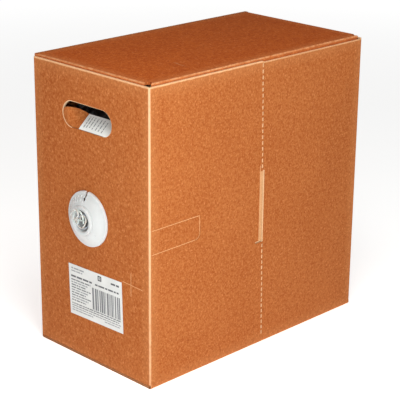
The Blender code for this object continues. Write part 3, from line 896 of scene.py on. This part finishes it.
def make_bottom(kraft, edge, medium):
    inset = CORNER_RADIUS * 0.5
    long_span = (-HALF_LENGTH + inset, HALF_LENGTH - inset)
    seam_gap = 0.0004
    near = folded_flap("bottom_flap_near_board", -1, SEAM_Y - seam_gap, kraft, edge, medium,
                       1, HALF_WIDTH, 0.0, long_span)
    far = folded_flap("bottom_flap_far_board", 1, SEAM_Y + seam_gap, kraft, edge, medium,
                      1, HALF_WIDTH, 0.0, long_span)
    put(near, "carton", "kraft_board", "bottom_flap_near")
    put(far, "carton", "kraft_board", "bottom_flap_far")
    short_span = (-HALF_WIDTH + BOARD, HALF_WIDTH - BOARD)
    for side, node in ((-1, "dust_flap_front"), (1, "dust_flap_back")):
        low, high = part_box(node)
        free_edge = high.x if side < 0 else low.x
        made = folded_flap(node + "_board", side, free_edge, kraft, edge, medium,
                           0, HALF_LENGTH, low.z, short_span)
        put(made, "carton", "kraft_board", node)


# ---------------------------------------------------------------- lid and tucks

def make_lid(kraft, edge):
    """Lid panel with soft folds along its edges and a relief notch at each free corner."""
    shape = bmesh.new()
    near_y = LID_LOW.y
    end_x = LID_HIGH.x
    notch = [(0, 0.0078), (0.0042, 0.0084), (0.0066, 0.0066), (0.0066, 0.0036), (0.0046, 0.0012),
             (0.0026, 0)]
    outline = [(-end_x, HALF_WIDTH)] + [(-end_x + inset, near_y + back) for inset, back in notch]
    outline += [(end_x - inset, near_y + back) for inset, back in reversed(notch)] + [(end_x, HALF_WIDTH)]
    add_prism(shape, outline, level, LID_LOW.z, LID_HIGH.z)
    bmesh.ops.recalc_face_normals(shape, faces=shape.faces)
    rim = []
    for edge_line in shape.edges:
        first, second = edge_line.verts
        on_top = first.co.z > LID_HIGH.z - 1e-5 and second.co.z > LID_HIGH.z - 1e-5
        long_edge = (first.co - second.co).length > 0.01
        if on_top and long_edge:
            rim.append(edge_line)
    bmesh.ops.bevel(shape, geom=rim, offset=FOLD_RADIUS, segments=6, profile=0.5, affect="EDGES")
    lid = finish_mesh("lid_board", shape, [kraft, edge])
    sided(lid)
    put(lid, "lid", "kraft_board", "lid_panel")
    lip = box_shape((tear_line_x(WALL_TOP) + 0.0003, near_y + 0.0001, LID_LOW.z - WALL_TOP_STEP - 0.0002),
                    (end_x - 0.0045, near_y + 0.0005, LID_LOW.z + 0.0003), 0)
    made = finish_mesh("lid_fold_lip", lip, [kraft])
    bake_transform(made)


def make_lid_scuff(crushed):
    """Short pale rub mark on the lid."""
    outline = [(-0.0882, -0.043), (-0.0871, -0.044), (-0.0892, -0.056), (-0.0904, -0.066),
               (-0.0909, -0.062), (-0.0899, -0.052)]
    shape = bmesh.new()
    add_prism(shape, outline, lambda s, t, z: Vector((s, t, HEIGHT + z)), -0.0001, 0.00003)
    put(finish_mesh("lid_scuff", shape, [crushed]), "lid", "kraft_board")


def fold_strip(name, outside, along, kraft):
    """Liner that carries round a fold between two bodies.

    outside is the strip's cross-section of points, each with the direction its thickness
    goes in, and along the two ends of the fold as offsets added to every point.
    """
    shape = bmesh.new()
    thick = 0.0003
    low, high = (Vector(offset) for offset in along)
    columns = []
    for point, inward in outside:
        point, behind = Vector(point), Vector(point) + Vector(inward).normalized() * thick
        columns.append([point + low, point + high, behind + high, behind + low])
    add_strip(shape, columns)
    strip = finish_mesh(name, shape, [kraft])
    sided(strip, 60.0)
    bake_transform(strip)


def make_fold_strips(kraft):
    """Outer liner at the lid's hinge and at its three tucks."""
    y, z = HALF_WIDTH, HEIGHT
    out = 0.00012
    outside = [((0, y + out, z - 0.0065), (0, -1, 0)), ((0, y + out, z - 0.0012), (0, -1, 0)),
               ((0, y - 0.0003 + out, z - 0.0003 + out), (0, -1, -1)),
               ((0, y - 0.0012, z + out), (0, 0, -1)), ((0, y - 0.0065, z + out), (0, 0, -1))]
    fold_strip("lid_hinge_liner", outside,
               ((-LID_HIGH.x, 0, 0), (LID_HIGH.x, 0, 0)), kraft)
    near = Vector(JOINTS["near_tuck_fold"]["pos_m"])
    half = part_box("lid_near_tuck")[1].x
    outside = [((0, LID_LOW.y + 0.0002, LID_LOW.z + 0.0004), (0, 1, 0)),
               ((0, near.y - 0.0004, near.z - 0.0005), (0, 1, 1)),
               ((0, near.y + 0.0002, near.z - 0.0022), (0, 1, 0)),
               ((0, near.y + 0.0008, near.z - 0.0050), (0, 1, 0))]
    fold_strip("near_tuck_liner", outside, ((-half, 0, 0), (half, 0, 0)),
               kraft)
    for side, name in ((-1, "front"), (1, "back")):
        fold = Vector(JOINTS[name + "_tuck_fold"]["pos_m"])
        low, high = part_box("lid_" + name + "_tuck")
        ends = ((0, low.y, 0), (0, high.y, 0))
        outside = [((side * (LID_HIGH.x - 0.0002), 0, LID_LOW.z + 0.0004), (-side, 0, 0)),
                   ((side * (abs(fold.x) + 0.0004), 0, fold.z - 0.0005), (-side, 0, 1)),
                   ((side * (abs(fold.x) - 0.0001), 0, fold.z - 0.0022), (-side, 0, 0)),
                   ((side * (abs(fold.x) - 0.0006), 0, fold.z - 0.0050), (-side, 0, 0))]
        fold_strip(name + "_tuck_liner", outside, ends,
                   kraft)


def leaned_place(fold, lean, s_axis, t_axis, depth_axis, turn_axis):
    """Panel frame at a fold, leaned about turn_axis."""
    turn = Matrix.Rotation(lean, 3, Vector(turn_axis))
    return panel_place(fold, turn @ Vector(s_axis), turn @ Vector(t_axis), turn @ Vector(depth_axis))


def make_tuck(body, node, outline, place, materials):
    shape = bmesh.new()
    fluted_board(shape, outline, place)
    put(finish_mesh(body + "_board", shape, materials), body, "kraft_board", node)


def make_tucks(materials):
    """The long tuck behind the near wall, and a short one behind each end wall."""
    near_fold = Vector(JOINTS["near_tuck_fold"]["pos_m"])
    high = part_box("lid_near_tuck")[1]
    lean = math.asin((high.y - near_fold.y - BOARD) / TUCK_DEPTH)
    half = high.x
    outline = [(-half + TUCK_TAPER, -TUCK_DEPTH), (half - TUCK_TAPER, -TUCK_DEPTH),
               (half, -TUCK_DROP), (-half, -TUCK_DROP)]
    place = leaned_place(near_fold, lean, (1, 0, 0), (0, 0, 1), (0, 1, 0), (1, 0, 0))
    make_tuck("near_tuck", "lid_near_tuck", outline, place, materials)
    for side, body in ((-1, "front_tuck"), (1, "back_tuck")):
        fold = Vector(JOINTS[body + "_fold"]["pos_m"])
        low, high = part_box("lid_" + body)
        outline = [(-TUCK_DEPTH, low.y + TUCK_TAPER), (-TUCK_DROP, low.y), (-TUCK_DROP, high.y),
                   (-TUCK_DEPTH, high.y - TUCK_DEPTH + TUCK_DROP)]
        place = leaned_place(fold, side * END_TUCK_LEAN, (0, 0, 1), (0, 1, 0), (-side, 0, 0), (0, 1, 0))
        make_tuck(body, "lid_" + body, outline, place, materials)


# ---------------------------------------------------------------- hand flaps

def flap_outline():
    """Outline (y, z) of a hand flap from its fold, as the frame cuts it."""
    radius = HAND_HOLE_HEIGHT / 2
    reach = HAND_HOLE_WIDTH / 2 - radius
    height = FLAP_HIGH.z - BACK_FLAP_FOLD.z
    corner = height - radius
    side = arc((reach, radius), radius - FLAP_CUT, -math.pi / 2, 0.0, 10)
    side += arc((reach + radius - FLAP_CUT - corner, radius), corner, 0.0, math.pi / 2, 8)[1:]
    return side + [(-y, z) for y, z in reversed(side)]


def bevelled(place):
    """Flap frame whose fold edge and lower corners are bevelled through the board's thickness."""
    def bent(s, t, depth):
        rise = hole_rise(s, FLAP_CUT)
        share = min(max((2 * BOARD - rise) / BOARD, 0.0), 1.0)
        return place(s, max(t, rise - 0.0002 + depth * CREASE_SLOPE * share), depth)
    return bent


def make_back_flap(kraft, edge, medium):
    place = panel_place(BACK_FLAP_FOLD, (0, 1, 0), (0, 0, 1), (-1, 0, 0))
    shape = bmesh.new()
    fluted_board(shape, flap_outline(), bevelled(place))
    made = finish_mesh("back_hand_flap_board", shape, [kraft, edge, medium])
    put(made, "back_flap", "kraft_board", "back_hand_flap")


def make_front_flap(kraft, edge, medium):
    """Front flap: pushed in under its label, and bent back to the wall at its far end."""
    turned = leaned_place(FLAP_FOLD, FLAP_TILT, (0, 1, 0), (0, 0, 1), (1, 0, 0), (0, 1, 0))
    outline = flap_outline()
    top_z = max(z for y, z in outline)
    main = [(FLAP_LABEL_START, 0.0), (FLAP_LABEL_START, top_z)]
    main += [(y, z) for y, z in outline if y < 0]
    shape = bmesh.new()
    fluted_board(shape, main, bevelled(turned))
    made = finish_mesh("front_hand_flap_board", shape, [kraft, edge, medium])
    put(made, "front_flap", "kraft_board", "front_hand_flap")

    def bent(s, t, depth):
        share = min(max((FLAP_BEND_END - s) / (FLAP_BEND_END - FLAP_LABEL_START), 0.0), 1.0)
        share = share * share * (3 - 2 * share)
        place = leaned_place(FLAP_FOLD, FLAP_TILT * share, (0, 1, 0), (0, 0, 1), (1, 0, 0), (0, 1, 0))
        return bevelled(place)(s, t, depth)

    low_s, high_s = FLAP_LABEL_START, max(y for y, z in outline) - 0.0001
    count = int((high_s - low_s) / (FLUTE_PITCH / FLUTE_STEPS))
    shape = bmesh.new()
    for near_depth, far_depth, index in ((0.0, LINER, 0), (None, None, 2), (BOARD - LINER, BOARD, 0)):
        columns = []
        for step in range(count + 1):
            s = low_s + (high_s - low_s) * step / count
            low_t, high_t = outline_span(outline, s)
            middle = flute_depth(s)
            near = middle - MEDIUM / 2 if near_depth is None else near_depth
            far = middle + MEDIUM / 2 if far_depth is None else far_depth
            columns.append([bent(s, low_t, near), bent(s, high_t, near),
                            bent(s, high_t, far), bent(s, low_t, far)])
        add_strip(shape, columns, material_index=index)
    end = finish_mesh("front_hand_flap_bent_end", shape, [kraft, edge, medium])
    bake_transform(end)
    return turned


# ---------------------------------------------------------------- payout flange

def flange_profile():
    """Closed (x, radius) profile with rounded rim and lip. x is negative outwards."""
    face = -HALF_LENGTH - 0.0003
    top = TUBE_LOW.x
    bore = TUBE_BORE_RADIUS
    lip = bore + 0.0048
    shoulder = -HALF_LENGTH - 0.0100
    points = [(face, FLANGE_RADIUS), (face - 0.0014, FLANGE_RADIUS)]
    points += arc((face - 0.0014, FLANGE_RADIUS - 0.0014), 0.0014, math.pi / 2, math.pi, 6)
    points += [(face - 0.0030, FLANGE_RADIUS - 0.0024), (face - 0.0042, FLANGE_RADIUS - 0.0052),
               (face - 0.0062, lip + 0.0082), (face - 0.0082, lip + 0.0044),
               (shoulder + 0.0004, lip + 0.0020), (shoulder, lip + 0.0010),
               (shoulder + 0.0003, lip), (shoulder - 0.0008, lip)]
    points += arc((top + 0.0013, lip - 0.0013), 0.0013, math.pi / 2, math.pi, 6)
    points += arc((top + 0.0024, bore + 0.0024), 0.0024, math.pi, 1.5 * math.pi, 7)
    points += [(-0.12, bore), (TUBE_HIGH.x, bore), (TUBE_HIGH.x, bore + TUBE_WALL),
               (shoulder + 0.0032, bore + TUBE_WALL), (shoulder + 0.0032, lip - 0.0004),
               (face - 0.0048, (FLANGE_RADIUS + lip) / 2), (face - 0.0014, FLANGE_RADIUS - 0.0040),
               (face, FLANGE_RADIUS - 0.0030)]
    return points


def revolve(profile, steps, place):
    """Turned shape. profile is (along, radius), and place(along, across, up) gives a point."""
    shape = bmesh.new()
    rings = []
    for step in range(steps):
        angle = 2 * math.pi * step / steps
        rings.append([shape.verts.new(place(along, radius * math.cos(angle), radius * math.sin(angle)))
                      for along, radius in profile])
    for step in range(steps):
        here, after = rings[step], rings[(step + 1) % steps]
        for index in range(len(profile)):
            beside = (index + 1) % len(profile)
            shape.faces.new((here[index], here[beside], after[beside], after[index]))
    return shape


def tube_place(x, across, up):
    """Point by its offsets from the payout tube's axis."""
    return Vector((x, CUTOUT_Y + across, TUBE_Z + up))


def make_flange(plastic):
    flange = finish_mesh("payout_flange", revolve(flange_profile(), 112, tube_place), [plastic])
    hole_z = TUBE_Z + FLANGE_RADIUS - 0.0082
    outer_x = TUBE_LOW.x - 0.01
    inner_x = -HALF_LENGTH + 0.004
    hole = outline_cutter(circle((CUTOUT_Y, hole_z), 0.0024, 24), outer_x, inner_x)
    mouth_z = TUBE_Z + FLANGE_RADIUS + 0.003
    slot = outline_cutter([(CUTOUT_Y - 0.0011, hole_z), (CUTOUT_Y + 0.0011, hole_z),
                           (CUTOUT_Y + 0.0028, mouth_z), (CUTOUT_Y - 0.0028, mouth_z)],
                          outer_x, inner_x)
    for shape in (hole, slot):
        for face in shape.faces:
            face.material_index = 0
    cut_with(flange, [hole, slot])
    sided(flange, 40.0)
    put(flange, "carton", "white_plastic", "payout_tube")


def make_snap_lugs(plastic):
    """Wedges on the tube that hold it behind the end wall."""
    for side in (-1, 1):
        shape = bmesh.new()
        base = TUBE_BORE_RADIUS + TUBE_WALL / 2
        wall_x = -HALF_LENGTH + BOARD + 0.0003
        outline = [(wall_x, base), (wall_x, base + 0.0039), (wall_x + 0.0045, base)]
        add_prism(shape, outline,
                  lambda s, t, z, side=side: Vector((s, CUTOUT_Y + side * t, TUBE_Z + z)), -0.005, 0.005)
        lug = finish_mesh("snap_lug_" + ("near" if side < 0 else "far"), shape, [plastic])
        put(lug, "carton", "white_plastic")


def make_flange_ribs(plastic):
    """Low moulded grip ribs on the upper far quarter of the dome."""
    shape = bmesh.new()
    low_radius, high_radius = 0.0215, 0.0285
    for step in range(8):
        angle = math.radians(8 + 11.5 * step)
        outward = Vector((0, math.cos(angle), math.sin(angle)))
        across = Vector((0, -math.sin(angle), math.cos(angle))) * 0.0007
        for start, end in ((low_radius, 0.0248), (0.0255, high_radius)):
            heights = [dome_height(start), dome_height(end)]
            middle = Vector((0, CUTOUT_Y, TUBE_Z))
            base = [middle + outward * start + Vector((heights[0] + 0.0004, 0, 0)),
                    middle + outward * end + Vector((heights[1] + 0.0004, 0, 0))]
            lift = Vector((-0.0010, 0, 0))
            narrow = across * 0.5
            add_hexahedron(shape, (base[0] - across, base[1] - across, base[1] + across, base[0] + across),
                           [point + lift for point in (base[0] - narrow, base[1] - narrow,
                                                       base[1] + narrow, base[0] + narrow)])
    put(finish_mesh("flange_grip_ribs", shape, [plastic]), "carton", "white_plastic")


def dome_height(radius):
    """X of the dome's outer surface at a radius."""
    profile = flange_profile()
    falling = [(x, r) for x, r in profile[9:17]]
    for (x0, r0), (x1, r1) in zip(falling, falling[1:]):
        if r1 <= radius <= r0:
            return x0 + (x1 - x0) * (r0 - radius) / (r0 - r1)
    return falling[-1][0]


# ---------------------------------------------------------------- cable

def tube_along(shape, points, radius, sides):
    """Round tube along a route, with parallel-transported rings and flat ends."""
    points = [Vector(point) for point in points]
    tangent = (points[1] - points[0]).normalized()
    across = tangent.orthogonal().normalized()
    rings = []
    for index, point in enumerate(points):
        before = points[max(index - 1, 0)]
        after = points[min(index + 1, len(points) - 1)]
        heading = (after - before).normalized()
        across = (across - heading * across.dot(heading)).normalized()
        upward = heading.cross(across)
        rings.append([shape.verts.new(point + radius * (across * math.cos(2 * math.pi * k / sides)
                                                        + upward * math.sin(2 * math.pi * k / sides)))
                      for k in range(sides)])
    for here, after in zip(rings, rings[1:]):
        for k in range(sides):
            beside = (k + 1) % sides
            shape.faces.new((here[k], here[beside], after[beside], after[k]))
    for ring in (rings[0][::-1], rings[-1]):
        shape.faces.new(ring)


def winding_route(layer_radius, half_width, middle_y, turns, phase):
    """One layer of a figure-eight wound coil: the cable crosses from side to side each turn."""
    per_turn = 56
    crossings = turns + 1
    route = []
    for step in range(turns * per_turn + 1):
        angle = 2 * math.pi * step / per_turn
        swing = math.sin(angle * crossings / turns + phase)
        y = middle_y + half_width * swing
        lift = 0.5 * CABLE_RADIUS * math.cos(angle * 2 * crossings / turns)
        radius = layer_radius + lift
        x = radius * math.cos(angle)
        z = COIL_Z + radius * math.sin(angle)
        across = Vector((y - CUTOUT_Y, z - TUBE_Z))
        if x < 0 and across.length < COIL_HOLE_RADIUS + CABLE_RADIUS:
            across = across.normalized() * (COIL_HOLE_RADIUS + CABLE_RADIUS)
            y, z = CUTOUT_Y + across.x, TUBE_Z + across.y
        route.append((x, y, z))
    return route


def make_coil(jacket, shade):
    """Outer turns of the coil as real cable over its packed inside."""
    half_width = (COIL_HIGH.y - COIL_LOW.y) / 2
    middle_y = (COIL_HIGH.y + COIL_LOW.y) / 2
    shape = bmesh.new()
    for layer, turns in enumerate((21, 23)):
        layer_radius = COIL_RADIUS - CABLE_RADIUS * (1.6 + 1.7 * layer)
        route = winding_route(layer_radius, half_width - CABLE_RADIUS, middle_y, turns, 0.7 * layer)
        tube_along(shape, route, CABLE_RADIUS, 8)
    turns_object = finish_mesh("coil_outer_turns", shape, [jacket], smooth=True)
    put(turns_object, "carton", "cable_jacket")
    inner = packed_coil(shade)
    put(inner, "carton", "cable_jacket", "cable_coil")


def packed_coil(shade):
    """Inside of the coil: rings of cable seen on its flat sides, around the open core."""
    core = COIL_CORE_RADIUS
    outer = COIL_RADIUS - CABLE_RADIUS * 4.4
    near_y, far_y = COIL_LOW.y + 0.0035, COIL_HIGH.y - 0.0035
    rows = int((outer - core) / (2 * CABLE_RADIUS))
    profile = [(near_y, core)]
    for row in range(rows):
        start = core + (outer - core) * row / rows
        end = core + (outer - core) * (row + 1) / rows
        middle = (start + end) / 2
        reach = (end - start) / 2
        profile += [(near_y - reach * math.sin(angle), middle - reach * math.cos(angle))
                    for angle in np.linspace(0.3, math.pi - 0.3, 5)]
    mirrored = [(near_y + far_y - y, radius) for y, radius in reversed(profile)]
    profile = profile + mirrored
    shape = revolve(profile, 96, lambda y, across, up: Vector((across, y, COIL_Z + up)))
    made = finish_mesh("coil_inner_turns", shape, [shade], smooth=True)
    hole = outline_cutter(circle((CUTOUT_Y, TUBE_Z), COIL_HOLE_RADIUS, 40), -COIL_RADIUS - 0.01, -0.04)
    for face in hole.faces:
        face.material_index = 0
    cut_with(made, [hole])
    sided(made, 50.0)
    return made


def bezier(points, steps):
    """Points along a cubic Bezier curve."""
    a, b, c, d = (Vector(point) for point in points)
    route = []
    for step in range(steps + 1):
        t = step / steps
        u = 1 - t
        route.append(a * u ** 3 + b * 3 * u * u * t + c * 3 * u * t * t + d * t ** 3)
    return route


def make_cable_end(jacket, conductor_materials):
    """Loose end in the tube: the jacket rises off the bore, and its pairs stick out of it."""
    y = (CABLE_LOW.y + CABLE_HIGH.y) / 2
    z = (CABLE_LOW.z + CABLE_HIGH.z) / 2
    radius = CABLE_RADIUS - 0.00005
    tip = Vector((-HALF_LENGTH + 0.0010, y - 0.0008, z + 0.0042))
    rising = bezier([(-0.145, y, z), (-0.160, y, z), (-0.166, y - 0.0004, z + 0.0014), tip], 16)
    shape = bmesh.new()
    tube_along(shape, rising[::-1] + [Vector((CABLE_HIGH.x, y, z))], radius, 28)
    end = finish_mesh("cable_end_jacket", shape, [jacket])
    sided(end)
    put(end, "loose_cable", "cable_jacket", "cable_end")
    heading = (rising[-1] - rising[-2]).normalized()
    axis = Vector((0, CUTOUT_Y, TUBE_Z))
    steps, twist_steps = 96, 18
    curls = ((-0.1806, 0.0062, 0.0108, 200, -1, 0, 0), (-0.1832, 0.0030, 0.0104, -60, 1, 0, 0),
             (-0.1884, 0.0024, 0.0106, 150, 1, 0.0020, 0.0040),
             (-0.1896, 0.0014, 0.0092, 20, -1, 0.0034, 0.0058))
    for pair, ((dark, light), (from_x, inner, outer, first, way, aside_y, up_z)) in enumerate(
            zip(conductor_materials, curls)):
        angle = math.pi / 4 + pair * math.pi / 2
        offset = Vector((0, math.cos(angle), math.sin(angle))) * CABLE_RADIUS * 0.48
        start = tip - heading * 0.003 + offset
        spine = []
        for step in range(steps + 1):
            share = step / steps
            turn = math.radians(first) + way * 2.3 * math.pi * share
            wander = 0.0022 * math.sin(13 * share + 1.9 * pair) * math.sin(math.pi * share)
            radius = min(abs(inner + (outer - inner) * share + wander), 0.0110)
            curl = axis + Vector((from_x - 0.0016 * math.sin(math.pi * share),
                                  aside_y + radius * math.cos(turn), up_z + radius * math.sin(turn)))
            leave = min(share / 0.16, 1.0)
            leave = leave * leave * (3 - 2 * leave)
            spine.append((start + heading * 0.004 * leave).lerp(curl, leave))
        for which, ink in ((0, dark), (1, light)):
            twisted = []
            for index, point in enumerate(spine):
                ahead = (spine[min(index + 1, steps)] - spine[max(index - 1, 0)]).normalized()
                aside = ahead.cross(Vector((1, 0, 0.2))).normalized()
                turn = 2 * math.pi * index / twist_steps + which * math.pi
                around = aside * math.cos(turn) + ahead.cross(aside) * math.sin(turn)
                twisted.append(point + around * STRAND_OFFSET)
            core = bmesh.new()
            tube_along(core, twisted, STRAND_RADIUS, 10)
            made = finish_mesh("conductor_%d_%s" % (pair + 1, "ab"[which]), core, [ink])
            sided(made)
            put(made, "loose_cable", "cable_jacket")


# ---------------------------------------------------------------- labels

def print_block(shape, place, left, top, width, height, proud=0.00004):
    """Flat printed block. left and top are measured from the label's upper left corner."""
    outline = [(left, -top), (left + width, -top), (left + width, -top - height), (left, -top - height)]
    add_prism(shape, outline, place, 0.0, proud)


def print_words(shape, place, left, top, width, height, seed):
    """Row of blocks with word-like lengths, which spell nothing."""
    rng = random.Random(seed)
    at = left
    while at < left + width:
        word = min(rng.uniform(1.5, 5.5) * height, left + width - at)
        print_block(shape, place, at, top, word, height)
        at += word + 0.7 * height


def print_bars(shape, place, left, top, width, height, seed):
    """Upright bars of uneven widths, which encode nothing."""
    rng = random.Random(seed)
    unit = width / 50
    at = left
    while at < left + width:
        bar = unit * rng.choice((1, 2, 2, 3))
        if at + bar > left + width:
            break
        print_block(shape, place, at, top, bar, height)
        at += bar + unit * rng.choice((1, 1, 1, 2))


def make_label_print(ink, grey_ink, faint_ink):
    """Generic print on the front label: rows of blocks, a square mark and a bar pattern."""
    width, height = LABEL_WIDTH, LABEL_HEIGHT
    centre = Vector((LABEL_LOW.x - 0.00002, (LABEL_LOW.y + LABEL_HIGH.y) / 2,
                     (LABEL_LOW.z + LABEL_HIGH.z) / 2))
    turn = Matrix.Rotation(-LABEL_TILT, 3, "X")
    corner = centre + turn @ Vector((0, width / 2, height / 2))
    place = panel_place(corner, turn @ Vector((0, -1, 0)), turn @ Vector((0, 0, 1)), (-1, 0, 0))
    bars = bmesh.new()
    print_bars(bars, place, width * 0.44, height * 0.32, width * 0.53, height * 0.43, 11)
    add_print("label_bars", bars, grey_ink)
    bold = bmesh.new()
    print_words(bold, place, width * 0.04, height * 0.215, width * 0.40, 0.0021, 5)
    print_words(bold, place, width * 0.50, height * 0.225, width * 0.44, 0.0019, 8)
    print_words(bold, place, width * 0.80, height * 0.085, width * 0.15, 0.0022, 9)
    mark_left, mark_top, mark = width * 0.555, height * 0.04, 0.0062
    strokes = ((0, 0, 1, 0.24), (0, 0.76, 1, 0.24), (0, 0, 0.24, 1), (0.76, 0, 0.24, 1),
               (0.38, 0.38, 0.24, 0.24))
    for left, top, across, down in strokes:
        print_block(bold, place, mark_left + left * mark, mark_top + top * mark, across * mark,
                    down * mark)
    add_print("label_bold_rows", bold, ink)
    rows = bmesh.new()
    dark_rows = bmesh.new()
    print_words(rows, place, width * 0.05, height * 0.06, width * 0.24, 0.0017, 1)
    print_words(rows, place, width * 0.05, height * 0.115, width * 0.22, 0.0014, 2)
    for row in range(9):
        kept = rows if row % 3 == 1 else dark_rows
        print_words(kept, place, width * 0.04, height * (0.29 + 0.051 * row),
                    width * (0.37 - 0.05 * (row % 3)), 0.0015, 20 + row)
    print_words(dark_rows, place, width * 0.04, height * 0.765, width * 0.92, 0.0014, 31)
    print_words(dark_rows, place, width * 0.04, height * 0.81, width * 0.90, 0.0012, 32)
    print_words(rows, place, width * 0.04, height * 0.855, width * 0.92, 0.0012, 35)
    print_words(rows, place, width * 0.04, height * 0.90, width * 0.40, 0.0013, 34)
    print_words(rows, place, width * 0.66, height * 0.90, width * 0.28, 0.0012, 33)
    add_print("label_rows", rows, faint_ink)
    add_print("label_dark_rows", dark_rows, grey_ink)


def add_print(name, shape, ink, body="carton"):
    put(finish_mesh(name, shape, [ink]), body, "label_paper")


def make_flap_label(flap_place, paper, faint_ink):
    """The hand flap's label with its rows of print, square to the fold."""
    outline = flap_outline()
    top_z = max(z for y, z in outline)
    kept = [(FLAP_LABEL_START, 0.0006), (FLAP_LABEL_START, top_z - 0.0002)]
    kept += [(y + 0.0002, max(z - 0.0002, 0.0006)) for y, z in outline if y < 0]
    shape = bmesh.new()
    add_prism(shape, kept, flap_place, -0.0001, -0.0004)
    put(finish_mesh("flap_label_paper", shape, [paper]), "front_flap", "label_paper", "hand_flap_label")
    shape = bmesh.new()
    proud = -0.00042

    def place(s, t, depth):
        return flap_place(s, t, proud - depth)

    for row, y in enumerate((0.0085, 0.0045, 0.0, -0.0050, -0.0105, -0.0155, -0.0210)):
        rng = random.Random(60 + row)
        at = 0.0035 + rng.uniform(0, 0.002)
        while at < 0.0185:
            word = min(rng.uniform(0.0015, 0.0055), 0.0190 - at)
            outline = [(y, at), (y + 0.0013, at), (y + 0.0013, at + word), (y, at + word)]
            add_prism(shape, outline, place, 0.0, 0.00003)
            at += word + 0.0009
    add_print("flap_label_rows", shape, faint_ink, "front_flap")


# ---------------------------------------------------------------- score marks

def score_line(shape, points, width=SCORE_WIDTH, proud=0.00005):
    """Crushed line in the near wall or the end wall, as a thin ribbon sunk into its liner."""
    for here, after in zip(points, points[1:]):
        here, after = Vector(here), Vector(after)
        along = (after - here).normalized()
        outward = Vector((0, -1, 0)) if abs(here.y + HALF_WIDTH) < 0.002 else Vector((-1, 0, 0))
        across = along.cross(outward) * width / 2
        start = here - along * width / 2
        end = after + along * width / 2
        corners = [start - across, end - across, end + across, start + across]
        add_hexahedron(shape, [corner - outward * SCORE_DEPTH for corner in corners],
                       [corner + outward * proud for corner in corners])


def make_scores(crushed):
    """U-shaped score on the near wall, and the cross by the label."""
    wall_y = -HALF_WIDTH
    top_z, low_z, end_x = 0.188, 0.1615, -HALF_LENGTH + 0.075
    start_x = -HALF_LENGTH + 0.0035
    curve = arc((end_x - 0.006, low_z + 0.006), 0.0065, 0.0, -math.pi / 2, 6)
    route = [(start_x, wall_y, top_z), (end_x, wall_y, top_z + 0.0002),
             (end_x + 0.0006, wall_y, low_z + 0.007)]
    route += [(x, wall_y, z) for x, z in curve] + [(start_x, wall_y, low_z - 0.0012)]
    shape = bmesh.new()
    score_line(shape, route)
    put(finish_mesh("side_tab_score", shape, [crushed]), "carton", "kraft_board")

    face_x = -HALF_LENGTH
    cross_y, cross_z = -HALF_WIDTH + 0.0305, 0.1165
    shape = bmesh.new()
    score_line(shape, [(face_x, cross_y, cross_z - 0.0125), (face_x, cross_y, cross_z + 0.0145)])
    score_line(shape, [(face_x, cross_y + 0.013, cross_z + 0.0012), (face_x, cross_y - 0.019, cross_z)])
    put(finish_mesh("end_wall_cross", shape, [crushed]), "carton", "kraft_board")


# ---------------------------------------------------------------- build

make_camera()
make_stage()

KRAFT = kraft_material("kraft_walls", (HALF_LENGTH, HALF_WIDTH, WALL_TOP), 0.7, (1.0, 0.95, 0.9), True)
# The lid's kraft is tinted darker and redder than the walls' kraft though it is the same board: painted
# shade on the top face.
KRAFT_LID_SHADED = kraft_material("kraft_lid_shaded", (LID_HIGH.x, -LID_LOW.y, HEIGHT), 0.55, (1.06, 0.73, 0.43))
KRAFT_INSIDE = kraft_material("kraft_plain")
EDGE = cut_edge_material("cut_edge", (0.80, 0.47, 0.25), (0.96, 0.64, 0.38))
MEDIUM_PAPER = cut_edge_material("flute_paper", (0.46, 0.22, 0.09), (0.62, 0.33, 0.15))
CRUSHED = cut_edge_material("crushed_line", (0.62, 0.27, 0.10), (0.76, 0.38, 0.17))
SCUFFED = cut_edge_material("scuffed_liner", (0.46, 0.15, 0.045), (0.58, 0.22, 0.08))
TORN = cut_edge_material("torn_liner", (0.70, 0.38, 0.18), (0.88, 0.54, 0.30))
# The coil's jacket is the same light grey cable darkened to a third: painted shade inside the box.
COIL_JACKET_SHADED = jacket_material("coil_jacket_shaded", 0.32)
PAPER = paper_material("paper", (0.72, 0.71, 0.69), (0.80, 0.79, 0.77))
# Brighter copy of the label paper, with the same roughness, for the flap label inside the hand hole:
# painted light.
PAPER_LIT_COPY = paper_material("paper_lit_copy", (0.90, 0.90, 0.88), (0.96, 0.96, 0.94))
INK = ink_material("ink", (0.10, 0.10, 0.11))
GREY_INK = ink_material("grey_ink", (0.20, 0.20, 0.21))
FAINT_INK = ink_material("faint_ink", (0.36, 0.36, 0.37))
PLASTIC = plastic_material()
JACKET = jacket_material("jacket", 1.0)

make_walls(KRAFT, EDGE, MEDIUM_PAPER)
make_wall_top(EDGE)
make_die_cut_rims(EDGE)
make_tear_line_lips(TORN, CRUSHED)
make_bottom(KRAFT, EDGE, MEDIUM_PAPER)
make_lid(KRAFT_LID_SHADED, EDGE)
make_lid_scuff(SCUFFED)
make_tucks([KRAFT_INSIDE, EDGE, MEDIUM_PAPER])
make_fold_strips(KRAFT_INSIDE)
front_place = make_front_flap(KRAFT_INSIDE, EDGE, MEDIUM_PAPER)
make_back_flap(KRAFT_INSIDE, EDGE, MEDIUM_PAPER)
make_flange(PLASTIC)
make_snap_lugs(PLASTIC)
make_flange_ribs(PLASTIC)
make_coil(COIL_JACKET_SHADED, COIL_JACKET_SHADED)
pair_colours = [((0.50, 0.56, 0.66), (0.84, 0.85, 0.87)), ((0.74, 0.62, 0.52), (0.87, 0.85, 0.83)),
                ((0.58, 0.66, 0.60), (0.84, 0.86, 0.84)), ((0.60, 0.53, 0.47), (0.86, 0.85, 0.83))]
pair_inks = [(ink_material("pair_%d_dark" % index, dark), ink_material("pair_%d_pale" % index, pale))
             for index, (dark, pale) in enumerate(pair_colours, 1)]
make_cable_end(JACKET, pair_inks)
make_label_print(INK, GREY_INK, FAINT_INK)
make_flap_label(front_place, PAPER_LIT_COPY, FAINT_INK)
make_scores(CRUSHED)

for node, material in (("front_label", PAPER), ("cable_feed", JACKET), ("glue_flap", KRAFT_INSIDE)):
    cad = frame["nodes"][node]
    cad.data.materials.clear()
    cad.data.materials.append(material)
